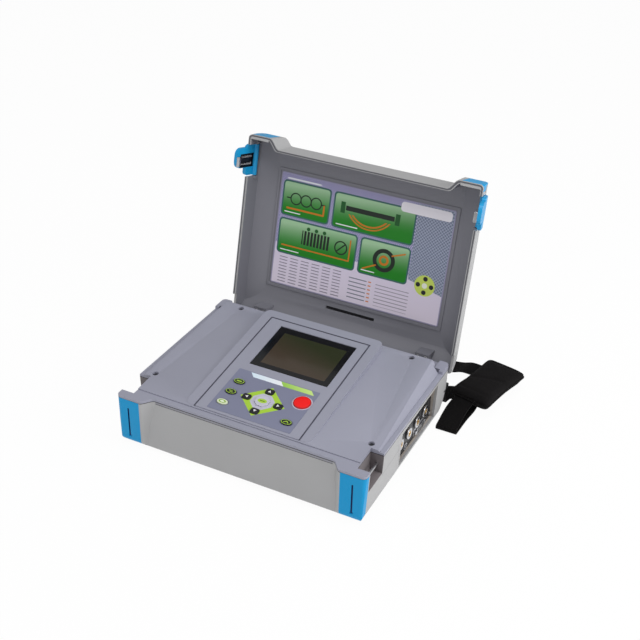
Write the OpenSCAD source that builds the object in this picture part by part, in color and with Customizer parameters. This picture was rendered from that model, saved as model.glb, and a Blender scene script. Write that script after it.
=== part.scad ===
// Portable micro ohmmeter in a lidded carrying case, shown as it stands in use: lid open
// and strap laid on the bench. The origin is the centre of the flat underside of the lower
// case, +X to the user's right, +Y to the rear, +Z up. Lengths are in millimetres and
// angles in degrees. Lid pieces are drawn with the lid shut and turned open as one.

/* [Case] */
// Width of the case over its side edges
case_w = 303; // [280:1:340]
// Depth of the case, from the horn fronts to the rear wall
case_d = 230; // [222:1:260]
// Height of the seat of the lid above the underside
case_h = 62; // [60:1:80]
// Thickness of the moulded case walls and floor
wall = 3; // [2.4:0.1:3.6]
// Thickness of the bezel that closes the case
bezel_t = 3; // [2:0.1:4]
// Width of each front horn
horn_w = 29; // [24:1:34]
// How far the front face stands back between the horns
recess_d = 12; // [9:0.5:16]
// How far the front face leans out towards its foot
front_lean = 9; // [4:0.5:9]
// Depth of the curved lower rear edge
tail_d = 31; // [20:1:34]
// Height of the curved lower rear edge
tail_h = 42; // [30:1:42]
// Height of the rubber feet below the underside
foot_h = 4; // [2.5:0.5:8]

/* [Faceplate] */
// Thickness of the faceplate
plate_t = 2.5; // [2:0.1:3]
// Height of the front edge of the deck above the seat of the lid
deck_front_rise = 1; // [0.5:0.1:3]
// Height of the rear edge of the deck above the seat of the lid
deck_rear_rise = 13; // [10:0.5:15]
// Width of the console
console_w = 154; // [150:1:160]
// Tilt of the console
console_tilt = 6; // [5.5:0.1:6.5]

/* [Display and keys] */
// Width of the display window
window_w = 99; // [90:1:102]
// Share of the console's length that the display window takes
window_share = 0.41; // [0.37:0.005:0.412]
// Width of an oval key
oval_key_w = 13; // [10:0.5:15]
// Diameter of the start key
start_key_d = 19.5; // [14:0.5:20]
// Travel of a key
key_travel = 0.8; // [0.4:0.1:1]

/* [Lid] */
// Height of the lid above its seat
lid_h = 35.5; // [34:0.5:44]
// Thickness of the lid walls
lid_wall = 3; // [2.4:0.1:3.6]
// Angle that the lid stands open
lid_open_angle = 103; // [85:1:108]
// Margin from the sides of the lid to the instruction label
label_side_margin = 35.2; // [35:0.1:50]
// Margin from the front and the rear of the lid to the instruction label
label_end_margin = 43; // [42:0.5:60]

/* [Latches and hinges] */
// Length of a side latch
latch_l = 38; // [34:1:40]
// Angle that a released latch stands out
latch_rest_angle = 10; // [8:1:14]
// Radius of the hinge pins
hinge_pin_r = 2; // [1.5:0.1:2.2]
// Width of a hinge arm
hinge_arm_w = 17; // [12:1:20]

/* [Terminals] */
// Radius of the bore of a measuring socket
socket_r = 2; // [1.5:0.1:2.2]
// Distance between neighbouring measuring sockets
socket_pitch = 23.5; // [20:0.5:25]

/* [Strap] */
// Width of the strap webbing
webbing_w = 26; // [20:1:27]
// Width of the padded sleeve
pad_w = 52; // [46:1:56]
// Length of the padded sleeve
pad_l = 88; // [80:1:94]
// Thickness of the padded sleeve
pad_h = 30; // [22:1:34]

/* [Hidden] */

// Steps in a drawn arc, in a scoop and round a bore
arc_steps = 6;
scoop_steps = 10;
tail_steps = 12;
bore_faces = 48;
// Overrun of a cut past the face that it opens
cut = 1;
// Gap between pieces of one body, between two bodies, and round a pin
seat_gap = 0.1;
move_gap = 0.35;
pin_gap = 0.05;

// Outline of the case
scoop_w = 14;
corner_r = 5;
bottom_r = 8;
side_draft = 2.4;
seam_z = case_h - bezel_t;
front_y = -case_d / 2 + recess_d;
horn_x = case_w / 2 - horn_w;
trim_h = 3.5;
trim_t = 1;
apron_z = seam_z - trim_h - trim_t;

// The deck of the faceplate, its foot and the land round it that the lid sits on
land_w = 5.3;
lip_w = 7.5;
slope_w = 10.2;
trough_d = 17;
foot_skirt_h = 2;
plate_foot_x = case_w / 2 - land_w;
deck_x = plate_foot_x - slope_w;
deck_y0 = front_y + lip_w;
deck_y1 = case_d / 2 - trough_d;
deck_angle = atan((deck_rear_rise - deck_front_rise) / (deck_y1 - deck_y0));
ledge_w = 3;
ledge_t = 1;

// The console, a wedge on the deck whose own plane holds the display and the keys
console_front_in = 2.5;
console_rear_in = 4;
console_y0 = deck_y0 + console_front_in;
console_y1 = deck_y1 - console_rear_in;
console_rise = 1.4;
console_l = (console_y1 - console_y0) / cos(console_tilt);
console_deep = 14;
console_r = 8;
groove_margin = 12;
groove_w = 1.2;
groove_deep = 0.8;

// The display, in console coordinates: u to the right, v up the slope
window_u = 3.5;
window_v_share = 0.6728;
window_v = window_v_share * console_l;
window_l = window_share * console_l;
window_drop = 1;
window_t = plate_t - window_drop;
window_lap = 3;
display_t = 9;
display_rim = 2.5;
board_t = 1.6;
post_r = 3;
post_gap = 1;
post_u = window_w / 2 + window_lap + post_r + post_gap;
post_v = window_l / 2 - post_r;
pilot_r = 1.1;
small_screw_r = 1;
small_head_r = 2.4;
small_head_h = 1.6;

// The keypad
overlay_w = 102;
overlay_l_share = 0.383;
overlay_l = overlay_l_share * console_l;
overlay_t = 0.6;
overlay_drop = 0.4;
overlay_v_share = 0.2127;
overlay_v = overlay_v_share * console_l;
key_top = 1.4;
key_flange = 1.2;
key_flange_t = 1.4;
flange_gap = 0.3;
key_flange_w = -plate_t - flange_gap;
key_low = key_flange_w - key_flange_t;
mat_t = 1.2;
dome_h = 0.6;
dome_r = 2.5;
dome_w = key_low - key_travel - seat_gap;
mat_w = dome_w - dome_h;
key_board_w = mat_w - mat_t;
key_column = 39.5;
key_row_share = 0.0989;
key_row = key_row_share * console_l;
nav_u = 0;
nav_v_share = 0.1936;
nav_v = nav_v_share * console_l;
nav_reach = 19.6;
nav_rise_share = 0.0917;
nav_rise = nav_rise_share * console_l;
nav_key_w = 10;
nav_key_l_share = 0.0447;
nav_key_l = nav_key_l_share * console_l;
nav_key_r = 2.6;
enter_key_r = 8.6;
oval_key_l = 8;
start_u = 40.4;
start_v_share = 0.2819;
start_v = start_v_share * console_l;
key_post_u = 47;
key_post_v_share = 0.1702;
key_post_v = key_post_v_share * console_l;

// The deep seats of the faceplate screws
rear_screw_in = 23;
rear_screw_back = 6.5;
front_screw_in = 2;
front_screw_back = 31.5;
plate_screws = [
    [deck_x - rear_screw_in, deck_y1 - rear_screw_back],
    [deck_x - front_screw_in, deck_y0 + front_screw_back]];
plate_screw_r = 1.5;
plate_head_r = 3;
plate_head_h = 2.4;
plate_seat_r = 3.6;
plate_boss_r = 5.2;
plate_boss_rise = 1.2;
plate_boss_base = seam_z + plate_boss_rise;
column_r = 5;
head_drop = 2.2;

// Latch pockets in the side walls of the case
latch_setback = 14;
pocket_margin = 3;
latch_y0 = -case_d / 2 + latch_setback;
pocket_x = deck_x;
pocket_y0 = latch_y0 - pocket_margin;
pocket_l = 34;
pocket_deep = 26;
pocket_wall = 2;
pocket_bridge = 5;
keeper_r = 1.5;

// Hinges: the axis lies low in the rear wall, and each arm swings through a slot
hinge_in = 2.8;
hinge_drop = 16;
hinge_side_in = 41.5;
knuckle_wall = 1.8;
hinge_y = case_d / 2 - hinge_in;
hinge_z = case_h - hinge_drop;
hinge_x = case_w / 2 - hinge_side_in;
knuckle_r = hinge_pin_r + knuckle_wall;
lug_w = 6;
lug_h = 7;
arm_gap = 0.6;
arm_t = 3.4;
hinge_slot_low = 9;
hinge_slot_x0 = hinge_x - hinge_arm_w / 2 - arm_gap;
hinge_slot_w = hinge_arm_w + 2 * arm_gap;

// The lid, drawn shut
lid_gap = 0.5;
lid_inset = 1.8;
lid_w = case_w - 2 * lid_inset;
lid_z0 = case_h + lid_gap;
lid_top = lid_z0 + lid_h;
lid_floor_t = 4;
lid_floor = lid_top - lid_floor_t;
lid_tail_d = 38;
lid_front_draft = 2;
lid_edge_r = 5;
lid_side_draft = 3.4;
lid_fold_drop = 9;
lid_fold_w = 8;
lid_inner_fold_drop = 9.2;
lid_inner_fold_w = 24;
frame_gap = 2;
frame_w = 2.5;
frame_h = 1;
label_t = 0.4;
label_w = lid_w - 2 * label_side_margin;
label_l = case_d - 2 * label_end_margin;
slot_l = 66;
slot_w = 4;
slot_in = 29.7;
slot_y = case_d / 2 - slot_in;
slot_deep = 2.4;
relief_x = 12;
relief_y = 21.5;
corner_h = 3.5;
relief_gap = 1;
relief_swing = 3.4;
gasket_w = 1.4;
gasket_h = 1.6;
gasket_in = 0.8;
gasket_stand = 0.3;

// Bumpers on the horns
bumper_t = 2.5;
bumper_wrap = 4;
bumper_slot_w = 2;
bumper_slot_deep = 1;
bumper_slot_margin = 11;
bumper_dot_r = 1.9;

// Hinge arms and their bosses inside the lid
arm_plate_t = 3;
arm_plate_rise = 1.6;
arm_front_gap = 1.2;
arm_rear_gap = 0.3;
arm_screw_back = 4;
arm_plate_z = lid_z0 + arm_plate_rise;
arm_front = deck_y1 + arm_front_gap;
arm_rear = case_d / 2 - lid_wall - arm_rear_gap;
arm_screw_y = arm_front + arm_screw_back;
arm_screw_x = 5;

// Latches, drawn engaged
latch_t = 4.4;
latch_pivot_rise = 16.5;
latch_pivot_in = 4.9;
latch_pivot_z = lid_z0 + latch_pivot_rise;
latch_pivot_x = case_w / 2 - latch_pivot_in;
latch_pin_r = 1.5;
latch_top = 3.4;
latch_drop = 18;
latch_out = case_w / 2;
tongue_inset = 3.2;
latch_side_gap = 1;
window_cut_l = latch_l + 2 * latch_side_gap;
ear_w = 3;
ear_x = 4.6;
latch_slot_l = 17;
latch_slot_h = 12;
hook_t = 1.2;
hook_w = 12;
hook_lip = 2.6;
hook_lip_t = 1.4;
keeper_x = latch_out - latch_t - hook_t - move_gap - keeper_r;
keeper_z = case_h - latch_drop + hook_lip_t + move_gap + keeper_r;

// The connector recess in the right side wall
port_l = 102;
port_rear_gap = 2;
port_y0 = case_d / 2 - tail_d - port_rear_gap - port_l;
port_z0 = 9;
port_top_in = 9;
port_z1 = case_h - port_top_in;
port_rise = 2.5;
tray_deep = 12.5;
tray_t = 2;
tray_lap = 2;
panel_t = 8.5;
panel_h = 28;
panel_gap = 0.4;
sleeve_r = 3.5;
sleeve_l = 23;
socket_deep = 20;
collar_r = 7;
collar_h = 2.6;
socket_in = 11;
socket_rise = 20.5;
data_in = 68;
data_rise = 7;
socket_y0 = port_y0 + socket_in;
socket_z = port_z0 + socket_rise;
data_w = 31;
data_h = 10.5;
data_y = port_y0 + data_in;
data_z = port_z0 + data_rise;
data_out = 2.4;
data_deep = 7;
jack_r = 2.4;
charge_r = 4.6;
charge_in = 27;
charge_y = port_y0 + charge_in;
charge_pin_r = 1;
panel_screw_in = 4.5;
panel_screw_rows = [port_y0 + panel_screw_in, port_y0 + port_l - panel_screw_in];
panel_back = case_w / 2 - wall - side_draft - tray_deep + tray_t;
panel_face = panel_back + panel_t;

// What the case holds
board_drop = 18;
deck_board_z = case_h - board_drop;
battery_w = 64;
battery_l = 120;
battery_h_share = 0.58;
battery_h = battery_h_share * case_h;
battery_side_in = 53.5;
battery_x = -case_w / 2 + battery_side_in;
clamp_t = 2;
clamp_w = 16;
clamp_foot = 9;
clamp_reach = battery_w / 2 + clamp_t + clamp_foot;
board_to_sleeve = 8.7;
board_margin = 40;
main_x0 = battery_x + clamp_reach;
main_x1 = panel_face + collar_h - sleeve_l - board_to_sleeve;
main_w = main_x1 - main_x0;
main_l = case_d - 2 * board_margin;
main_x = (main_x0 + main_x1) / 2;
main_y = -4;
pillar_r = 4;
pillar_in = 7;
board_screw_in = 5;
module_w = 96;
module_l = 84;
module_h_share = 0.355;
module_h = module_h_share * case_h;
module_gap = 21;
module_x = main_x0 + module_gap + module_w / 2;
fin_gap = 7;
fin_h = deck_board_z - wall - module_h - fin_gap;
fin_count = 9;
fin_t = 2;
chip_h = 3;
chip_l = 22;

// Feet
foot_r = 8;
foot_side_in = 39;
foot_front_in = 25;
foot_rear_in = 45;
foot_x = case_w / 2 - foot_side_in;
foot_y0 = -case_d / 2 + foot_front_in;
foot_y1 = case_d / 2 - foot_rear_in;
foot_stem_r = 2.5;
foot_flare = 1.4;

// The strap: bars on the rear wall, two runs of webbing and the padded sleeve
bar_r = 2;
bar_stand = 5;
bar_z = 30;
cheek_w = 2.4;
cheek_r = 3.6;
cheek_sink = 4;
bar_play = 0.5;
bar_side_in = 1.5;
bar_x1 = case_w / 2 - bar_side_in;
bar_x0 = bar_x1 - webbing_w - 2 * (cheek_w + bar_play);
bar_y = case_d / 2 + bar_stand;
cheek_y = case_d / 2 - cheek_sink;
bar_mid = (bar_x0 + bar_x1) / 2;
webbing_t = 2;
webbing_gap = 0.3;
wrap_steps = 6;
wrap_start = 250;
fold_steps = 6;
fold_r = 1.5;
bench = -foot_h;
laid = bench + webbing_gap + webbing_t;
pad_out = 32.5;
pad_back = 54;
pad_x = case_w / 2 + pad_out;
pad_y = case_d / 2 + pad_back;
pad_turn = -12;
pad_tilt = 1.2;
pad_share = 0.45;
pad_draw_share = 0.1;
pad_end_share = 0.06;
pad_channel_share = 0.14;
pad_rings = 16;
pad_sides = 20;

// The routes of the webbing, in shares of one length from the bar, with the side that its thickness goes to
strap_run = 100;
down = [0, 0, -1];
drop_route_shares = [
    [[0, 0.05, 0.19], [0, -1, 0]],
    [[0, 0.07, 0.08], [0, -0.9, -0.4]],
    [[0, 0.11, 0.04], [0, -0.5, -0.8]]];
right_route_shares = [
    [0, 0.18, 0], [0.03, 0.28, 0], [0.1, 0.34, 0], [0.18, 0.36, 0],
    [0.26, 0.34, 0], [0.33, 0.28, 0], [0.36, 0.17, 0], [0.34, -0.1, 0]];
left_start_shares = [
    [0, 0.2, 0], [0.04, 0.38, 0], [0.14, 0.56, 0], [0.32, 0.7, 0], [0.7, 0.8, 0], [1.34, 0.84, 0]];
left_finish_shares = [
    [-0.6, 0.85, 0], [-0.2, 0.845, 0.01], [0, 0.82, 0.05]];
fold_x_share = 0.33;
fold_y_share = 0.4;
right_end_in = 5;
right_end_lead = 16;
left_end_in = 22;
left_end_lead = 16;

function arc_points(cx, cy, r, a0, a1) =
    [for (i = [0:arc_steps]) let (a = a0 + (a1 - a0) * i / arc_steps) [cx + r * cos(a), cy + r * sin(a)]];

function mirrored(half) =
    concat(half, [for (i = [len(half) - 1:-1:0]) [-half[i].x, half[i].y]]);

// Half of the case's outline in plan, set in by the amount i from width w
function plan_half(w, i) = concat(
    [for (s = [0:scoop_steps]) [
        w / 2 - horn_w + i - scoop_w * (1 - s / scoop_steps),
        -case_d / 2 + i + recess_d * (1 + cos(180 * s / scoop_steps)) / 2]],
    arc_points(w / 2 - corner_r, -case_d / 2 + corner_r, corner_r - i, -90, 0),
    arc_points(w / 2 - corner_r, case_d / 2 - corner_r, corner_r - i, 0, 90));

function ellipse_points(a, b) =
    [for (i = [0:bore_faces - 1]) [a * cos(360 * i / bore_faces), b * sin(360 * i / bore_faces)]];

function round_rect(w, l, r) = concat(
    arc_points(w / 2 - r, l / 2 - r, r, 0, 90),
    arc_points(-w / 2 + r, l / 2 - r, r, 90, 180),
    arc_points(-w / 2 + r, -l / 2 + r, r, 180, 270),
    arc_points(w / 2 - r, -l / 2 + r, r, 270, 360));

// Side view of the lower case in y and z, set in by i
function case_side(i, top) = concat(
    [[-case_d / 2 + i, top]],
    arc_points(-case_d / 2 + bottom_r, bottom_r, bottom_r - i, 180, 270),
    [for (s = [0:tail_steps]) let (a = 90 * s / tail_steps)
        [case_d / 2 - tail_d + (tail_d - i) * sin(a), tail_h - (tail_h - i) * cos(a)]],
    [[case_d / 2 - i, top]]);

// End view of the lower case in x and z, set in by i
function case_end(i, top) = mirrored(concat(
    arc_points(case_w / 2 - side_draft - bottom_r, bottom_r, bottom_r - i, -90, 0),
    [[case_w / 2 - i, top]]));

// Side view of the lid in y and z
function lid_side(i, low, top) = concat(
    [[-case_d / 2 + i, low]],
    arc_points(-case_d / 2 + lid_front_draft + lid_edge_r, top - lid_edge_r + i, lid_edge_r - i, 180, 90),
    [for (s = [0:tail_steps]) let (a = 90 * s / tail_steps)
        [case_d / 2 - lid_tail_d + (lid_tail_d - i) * sin(a), lid_z0 + (top - lid_z0) * cos(a)]],
    [[case_d / 2 - i, low]]);

// End view of the lid in x and z, with its folded shoulders
function lid_end(i, low, top, fold_w, fold_drop) = mirrored([
    [lid_w / 2 - i - lid_side_draft - fold_w, top],
    [lid_w / 2 - i - lid_side_draft, top - fold_drop],
    [lid_w / 2 - i, low]]);

module along_x(w) { rotate([90, 0, 90]) linear_extrude(height = w, center = true) children(); }
module along_y(l) { rotate([90, 0, 0]) linear_extrude(height = l, center = true) children(); }
module pair() {
    children();
    mirror([1, 0, 0]) children();
}
module box(low, high) { translate(low) cube(high - low); }
module rod_x(x0, x1, y, z, r) { translate([x0, y, z]) rotate([0, 90, 0])
    cylinder(h = x1 - x0, r = r, $fn = bore_faces); }
module rod_y(y0, y1, x, z, r) { translate([x, y0, z]) rotate([-90, 0, 0])
    cylinder(h = y1 - y0, r = r, $fn = bore_faces); }
module rod_z(z0, z1, x, y, r) { translate([x, y, z0]) cylinder(h = z1 - z0, r = r, $fn = bore_faces); }

// The plane of the console, with its origin at the middle of its front edge
module on_console(u = 0, v = 0, w = 0) {
    translate([0, console_y0, case_h + console_rise]) rotate([console_tilt, 0, 0]) translate([u, v, w])
        children();
}

// Everything on the lid is drawn shut and swung open here about the hinge axis
module swung_open() {
    translate([0, hinge_y, hinge_z]) rotate([-lid_open_angle, 0, 0]) translate([0, -hinge_y, -hinge_z])
        children();
}

// A latch is drawn engaged on the right and turned out to its rest
module latch_released() {
    translate([latch_pivot_x, 0, latch_pivot_z]) rotate([0, -latch_rest_angle, 0])
        translate([-latch_pivot_x, 0, -latch_pivot_z]) children();
}

module on_left() { mirror([1, 0, 0]) children(); }

// The solid block of the lower case, set in by i
module case_block(i, top) {
    intersection() {
        union() {
            linear_extrude(height = top) polygon(mirrored(plan_half(case_w, i)));
            along_x(2 * (horn_x + i)) polygon([
                [front_y + i, apron_z], [front_y + i - front_lean, 0],
                [front_y + i + wall, 0], [front_y + i + wall, apron_z]]);
        }
        along_x(case_w) polygon(case_side(i, top));
        along_y(case_d) polygon(case_end(i, top));
    }
}

module latch_pocket(grow = 0) {
    box([pocket_x - grow, pocket_y0 - grow, case_h - pocket_deep - grow],
        [case_w / 2 + cut, pocket_y0 + pocket_l + grow, case_h + deck_rear_rise]);
}

module hinge_slot(top) {
    box([hinge_slot_x0, hinge_y - knuckle_r - arm_gap - wall, hinge_z - hinge_slot_low],
        [hinge_slot_x0 + hinge_slot_w, case_d / 2 + cut, top]);
}

module port_opening() {
    translate([case_w / 2, 0, 0]) along_x(2 * (tray_deep + wall + side_draft)) polygon([
        [port_y0, port_z0], [port_y0 + port_l, port_z0], [port_y0 + port_l, port_z1 + port_rise],
            [port_y0, port_z1]]);
}

// The space that a bumper takes from a horn, between the heights z0 and z1
module bumper_space(w, z0, z1, t) {
    difference() {
        intersection() {
            translate([0, 0, z0]) linear_extrude(height = z1 - z0) polygon(mirrored(plan_half(w, 0)));
            box([horn_x + seat_gap, -case_d / 2 - cut, z0],
                [w / 2 + cut, -case_d / 2 + corner_r + bumper_wrap, z1]);
        }
        translate([0, 0, z0 - cut]) linear_extrude(height = z1 - z0 + 2 * cut)
            polygon(mirrored(plan_half(w, t)));
    }
}

module lower_case() {
    color("gainsboro") difference() {
        union() {
            difference() {
                case_block(0, seam_z);
                intersection() {
                    case_block(wall, seam_z + cut);
                    translate([-case_w, -case_d, wall]) cube([2 * case_w, 2 * case_d, case_h]);
                }
            }
            intersection() {
                case_block(0, seam_z);
                union() {
                    pair() latch_pocket(pocket_wall);
                    pair() for (s = plate_screws) rod_z(0, seam_z, s.x, s.y, column_r);
                    pair() for (x = [hinge_slot_x0 - lug_w, hinge_slot_x0 + hinge_slot_w])
                        box([x, hinge_y - lug_h, hinge_z - lug_h],
                            [x + lug_w, case_d / 2, hinge_z + lug_h]);
                    pair() box([horn_x, -case_d / 2, 0],
                        [case_w / 2, -case_d / 2 + bumper_t + wall, seam_z]);
                }
            }
            at_pillars() rod_z(0, deck_board_z, 0, 0, pillar_r);
        }
        pair() latch_pocket();
        pair() hinge_slot(seam_z + cut);
        pair() rod_x(hinge_slot_x0 - lug_w - cut, hinge_slot_x0 + hinge_slot_w + lug_w + cut, hinge_y,
            hinge_z, hinge_pin_r + pin_gap);
        pair() rod_y(pocket_y0 - pocket_wall - cut, pocket_y0 + pocket_l + pocket_wall + cut, keeper_x,
            keeper_z, keeper_r + pin_gap);
        port_opening();
        pair() for (s = plate_screws) rod_z(wall, seam_z + cut, s.x, s.y, plate_screw_r + pin_gap);
        pair() bumper_space(case_w, -cut, seam_z + cut, bumper_t + seat_gap);
        translate([0, front_y + trim_t / 2 - cut / 2, 0]) trim_block(seat_gap, cut);
        pair() for (y = [foot_y0, foot_y1]) rod_z(-cut, wall + cut, foot_x, y, foot_stem_r + seat_gap);
        at_pillars() rod_z(deck_board_z - board_screw_in - seat_gap, deck_board_z + cut, 0, 0,
            small_screw_r + pin_gap);
        pair() for (x = [bar_x0, bar_x1 - cheek_w]) strap_cheek(x, seat_gap);
    }
}
module trim_block(grow, extra) {
    translate([-horn_x + scoop_w - grow, -trim_t / 2 - extra / 2, seam_z - trim_h - grow])
        cube([2 * (horn_x - scoop_w + grow), trim_t + grow + extra, trim_h + grow + extra]);
}

module front_trim_strip() {
    color("darkgray") translate([0, front_y + trim_t / 2, 0]) trim_block(0, 0);
}

module plate_foot(grow, z0, z1) {
    box([-plate_foot_x - grow, deck_y0 - grow, z0], [plate_foot_x + grow, deck_y1 + grow, z1]);
}

module corner_posts() {
    intersection() {
        linear_extrude(height = case_h + corner_h) polygon(mirrored(plan_half(case_w, 0)));
        pair() box([case_w / 2 - relief_x, case_d / 2 - relief_y, seam_z],
            [case_w, case_d, case_h + corner_h]);
    }
}

module case_bezel() {
    color("silver") difference() {
        union() {
            translate([0, 0, seam_z]) linear_extrude(height = bezel_t)
                polygon(mirrored(plan_half(case_w, 0)));
            corner_posts();
        }
        plate_foot(seat_gap, case_h - foot_skirt_h, case_h + deck_rear_rise);
        difference() {
            box([-plate_foot_x + ledge_w, deck_y0 + ledge_w, seam_z - cut],
                [plate_foot_x - ledge_w, deck_y1 - ledge_w, case_h]);
            pair() box([pocket_x - pocket_bridge, deck_y0, seam_z - 2 * cut],
                [case_w / 2, pocket_y0 + pocket_l + ledge_w, case_h]);
        }
        pair() latch_pocket();
        pair() hinge_slot(case_h + corner_h);
    }
}

// The faceplate's outer form, lowered and set in by i to give its inside
module deck_form(i) {
    hull() {
        box([-plate_foot_x + i, deck_y0 + i, case_h - foot_skirt_h - i],
            [plate_foot_x - i, deck_y1 - i, case_h - i]);
        translate([0, deck_y0, case_h + deck_front_rise - i]) rotate([deck_angle, 0, 0])
            box([-deck_x + i / 2, i, -deck_front_rise / 2],
                [deck_x - i / 2, (deck_y1 - deck_y0) / cos(deck_angle) - i, 0]);
    }
}

module console_form(i, extra) {
    on_console(0, console_l / 2, -console_deep - extra) linear_extrude(height = console_deep + extra - i)
        polygon(round_rect(console_w - 2 * i, console_l - 2 * i, console_r - i));
}

module console_groove() {
    on_console(0, (console_l - groove_margin - cut) / 2, -groove_deep)
        linear_extrude(height = groove_deep + cut) difference() {
        polygon(round_rect(console_w - 2 * groove_margin, console_l - groove_margin + cut, groove_w));
        polygon(round_rect(console_w - 2 * groove_margin - 2 * groove_w,
            console_l - groove_margin + cut - 2 * groove_w, groove_w));
    }
}

module at_display_posts() {
    for (x = [-1, 1], y = [-1, 1]) translate([window_u + x * post_u, window_v + y * post_v, 0]) children();
}

module at_keypad_posts() {
    for (x = [-1, 1], y = [-1, 1]) translate([x * key_post_u, overlay_v + y * key_post_v, 0]) children();
}

module faceplate() {
    color("lightslategray") difference() {
        union() {
            difference() {
                union() {
                    deck_form(0);
                    intersection() {
                        console_form(0, 0);
                        plate_foot(0, case_h - foot_skirt_h, case_h + console_l);
                    }
                }
                deck_form(plate_t);
                console_form(plate_t, cut);
            }
            intersection() {
                deck_form(0);
                union() {
                    pair() latch_pocket(pocket_wall);
                    pair() for (s = plate_screws)
                        rod_z(plate_boss_base, case_h + deck_rear_rise, s.x, s.y, plate_boss_r);
                }
            }
            on_console(0, 0, -plate_t - display_t) at_display_posts()
                cylinder(h = display_t + plate_t / 2, r = post_r, $fn = bore_faces);
            on_console(0, 0, key_board_w) at_keypad_posts()
                cylinder(h = -key_board_w - plate_t / 2, r = post_r, $fn = bore_faces);
        }
        console_groove();
        on_console(window_u, window_v, -plate_t - cut) linear_extrude(height = window_t + cut)
            square([window_w + 2 * window_lap + 2 * seat_gap, window_l + 2 * window_lap + 2 * seat_gap],
                center = true);
        on_console(window_u, window_v, -plate_t - cut) linear_extrude(height = plate_t + 2 * cut)
            square([window_w, window_l], center = true);
        on_console(0, overlay_v, -overlay_drop) linear_extrude(height = overlay_drop + cut)
            polygon(round_rect(overlay_w + 2 * seat_gap, overlay_l + 2 * seat_gap, groove_w));
        all_key_holes(-plate_t - cut, cut);
        on_console(0, 0, -plate_t - display_t - cut) at_display_posts()
            cylinder(h = display_t, r = pilot_r, $fn = bore_faces);
        on_console(0, 0, key_board_w - cut) at_keypad_posts()
            cylinder(h = -key_board_w - plate_t + cut, r = pilot_r, $fn = bore_faces);
        pair() latch_pocket();
        pair() for (s = plate_screws) {
            rod_z(seam_z, case_h + deck_rear_rise + cut, s.x, s.y, plate_screw_r + seat_gap);
            rod_z(plate_head_z(s), case_h + deck_rear_rise + cut, s.x, s.y, plate_seat_r);
        }
        pair() box([case_w / 2 - relief_x - seat_gap, case_d / 2 - relief_y - seat_gap, seam_z],
            [case_w, case_d, case_h + deck_rear_rise]);
    }
}

function deck_z(y) = case_h + deck_front_rise + (y - deck_y0) * tan(deck_angle);
function plate_head_z(s) = deck_z(s.y) - head_drop - plate_head_h;

module faceplate_screws() {
    color("dimgray") pair() for (s = plate_screws) {
        rod_z(plate_head_z(s), plate_head_z(s) + plate_head_h, s.x, s.y, plate_head_r);
        rod_z(wall + column_r, plate_head_z(s), s.x, s.y, plate_screw_r);
    }
}

module case_bumper() {
    color("deepskyblue") difference() {
        intersection() {
            bumper_space(case_w, 0, seam_z - seat_gap, bumper_t);
            along_x(case_w) polygon(case_side(0, seam_z));
            along_y(case_d) polygon(case_end(0, seam_z));
        }
        box([(horn_x + case_w / 2 - bumper_slot_w) / 2, -case_d / 2 - cut, bumper_slot_margin],
            [(horn_x + case_w / 2 + bumper_slot_w) / 2, -case_d / 2 + bumper_slot_deep,
                seam_z - bumper_slot_margin]);
        rod_y(-case_d / 2 - cut, -case_d / 2 + bumper_slot_deep, (horn_x + case_w / 2) / 2,
            bumper_slot_margin, bumper_dot_r);
    }
}
module case_bumper_right() { case_bumper(); }
module case_bumper_left() { on_left() case_bumper(); }

module feet() {
    color("deepskyblue") pair() for (y = [foot_y0, foot_y1]) {
        translate([foot_x, y, -foot_h]) cylinder(h = foot_h, r1 = foot_r - foot_flare, r2 = foot_r,
            $fn = bore_faces);
        rod_z(0, wall, foot_x, y, foot_stem_r);
    }
}

module latch_keepers() {
    color("silver") pair() rod_y(pocket_y0 - pocket_wall, pocket_y0 + pocket_l + pocket_wall, keeper_x,
        keeper_z, keeper_r);
}

module hinge_pins() {
    color("silver") pair() rod_x(hinge_slot_x0 - lug_w, hinge_slot_x0 + hinge_slot_w + lug_w, hinge_y,
        hinge_z, hinge_pin_r);
}

module display_window() {
    color("black") on_console(window_u, window_v, -plate_t) linear_extrude(height = window_t)
        square([window_w + 2 * window_lap, window_l + 2 * window_lap], center = true);
}

module display_module() {
    color("darkolivegreen") on_console(window_u, window_v, -plate_t - display_t)
        linear_extrude(height = display_t)
        square([window_w + 2 * display_rim, window_l + 2 * display_rim], center = true);
}

module display_board() {
    color("green") on_console(0, 0, -plate_t - display_t - board_t) linear_extrude(height = board_t)
        difference() {
        translate([window_u, window_v]) square([2 * (post_u + post_r), 2 * (post_v + post_r)],
            center = true);
        at_display_posts() circle(r = small_screw_r + seat_gap, $fn = bore_faces);
    }
}

module small_screw(length) {
    translate([0, 0, -small_head_h]) cylinder(h = small_head_h, r = small_head_r, $fn = bore_faces);
    cylinder(h = length, r = small_screw_r, $fn = bore_faces);
}

module display_screws() {
    color("silver") on_console(0, 0, -plate_t - display_t - board_t) at_display_posts()
        small_screw(display_t);
}

module oval_outline(grow) { polygon(ellipse_points(oval_key_w / 2 + grow, oval_key_l / 2 + grow)); }
module nav_outline(grow) { polygon(round_rect(nav_key_w + 2 * grow, nav_key_l + 2 * grow,
    nav_key_r + grow)); }
module enter_outline(grow) { rotate(45 / 2) circle(r = enter_key_r + grow, $fn = 8); }
module start_outline(grow) { circle(d = start_key_d + 2 * grow, $fn = bore_faces); }

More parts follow.
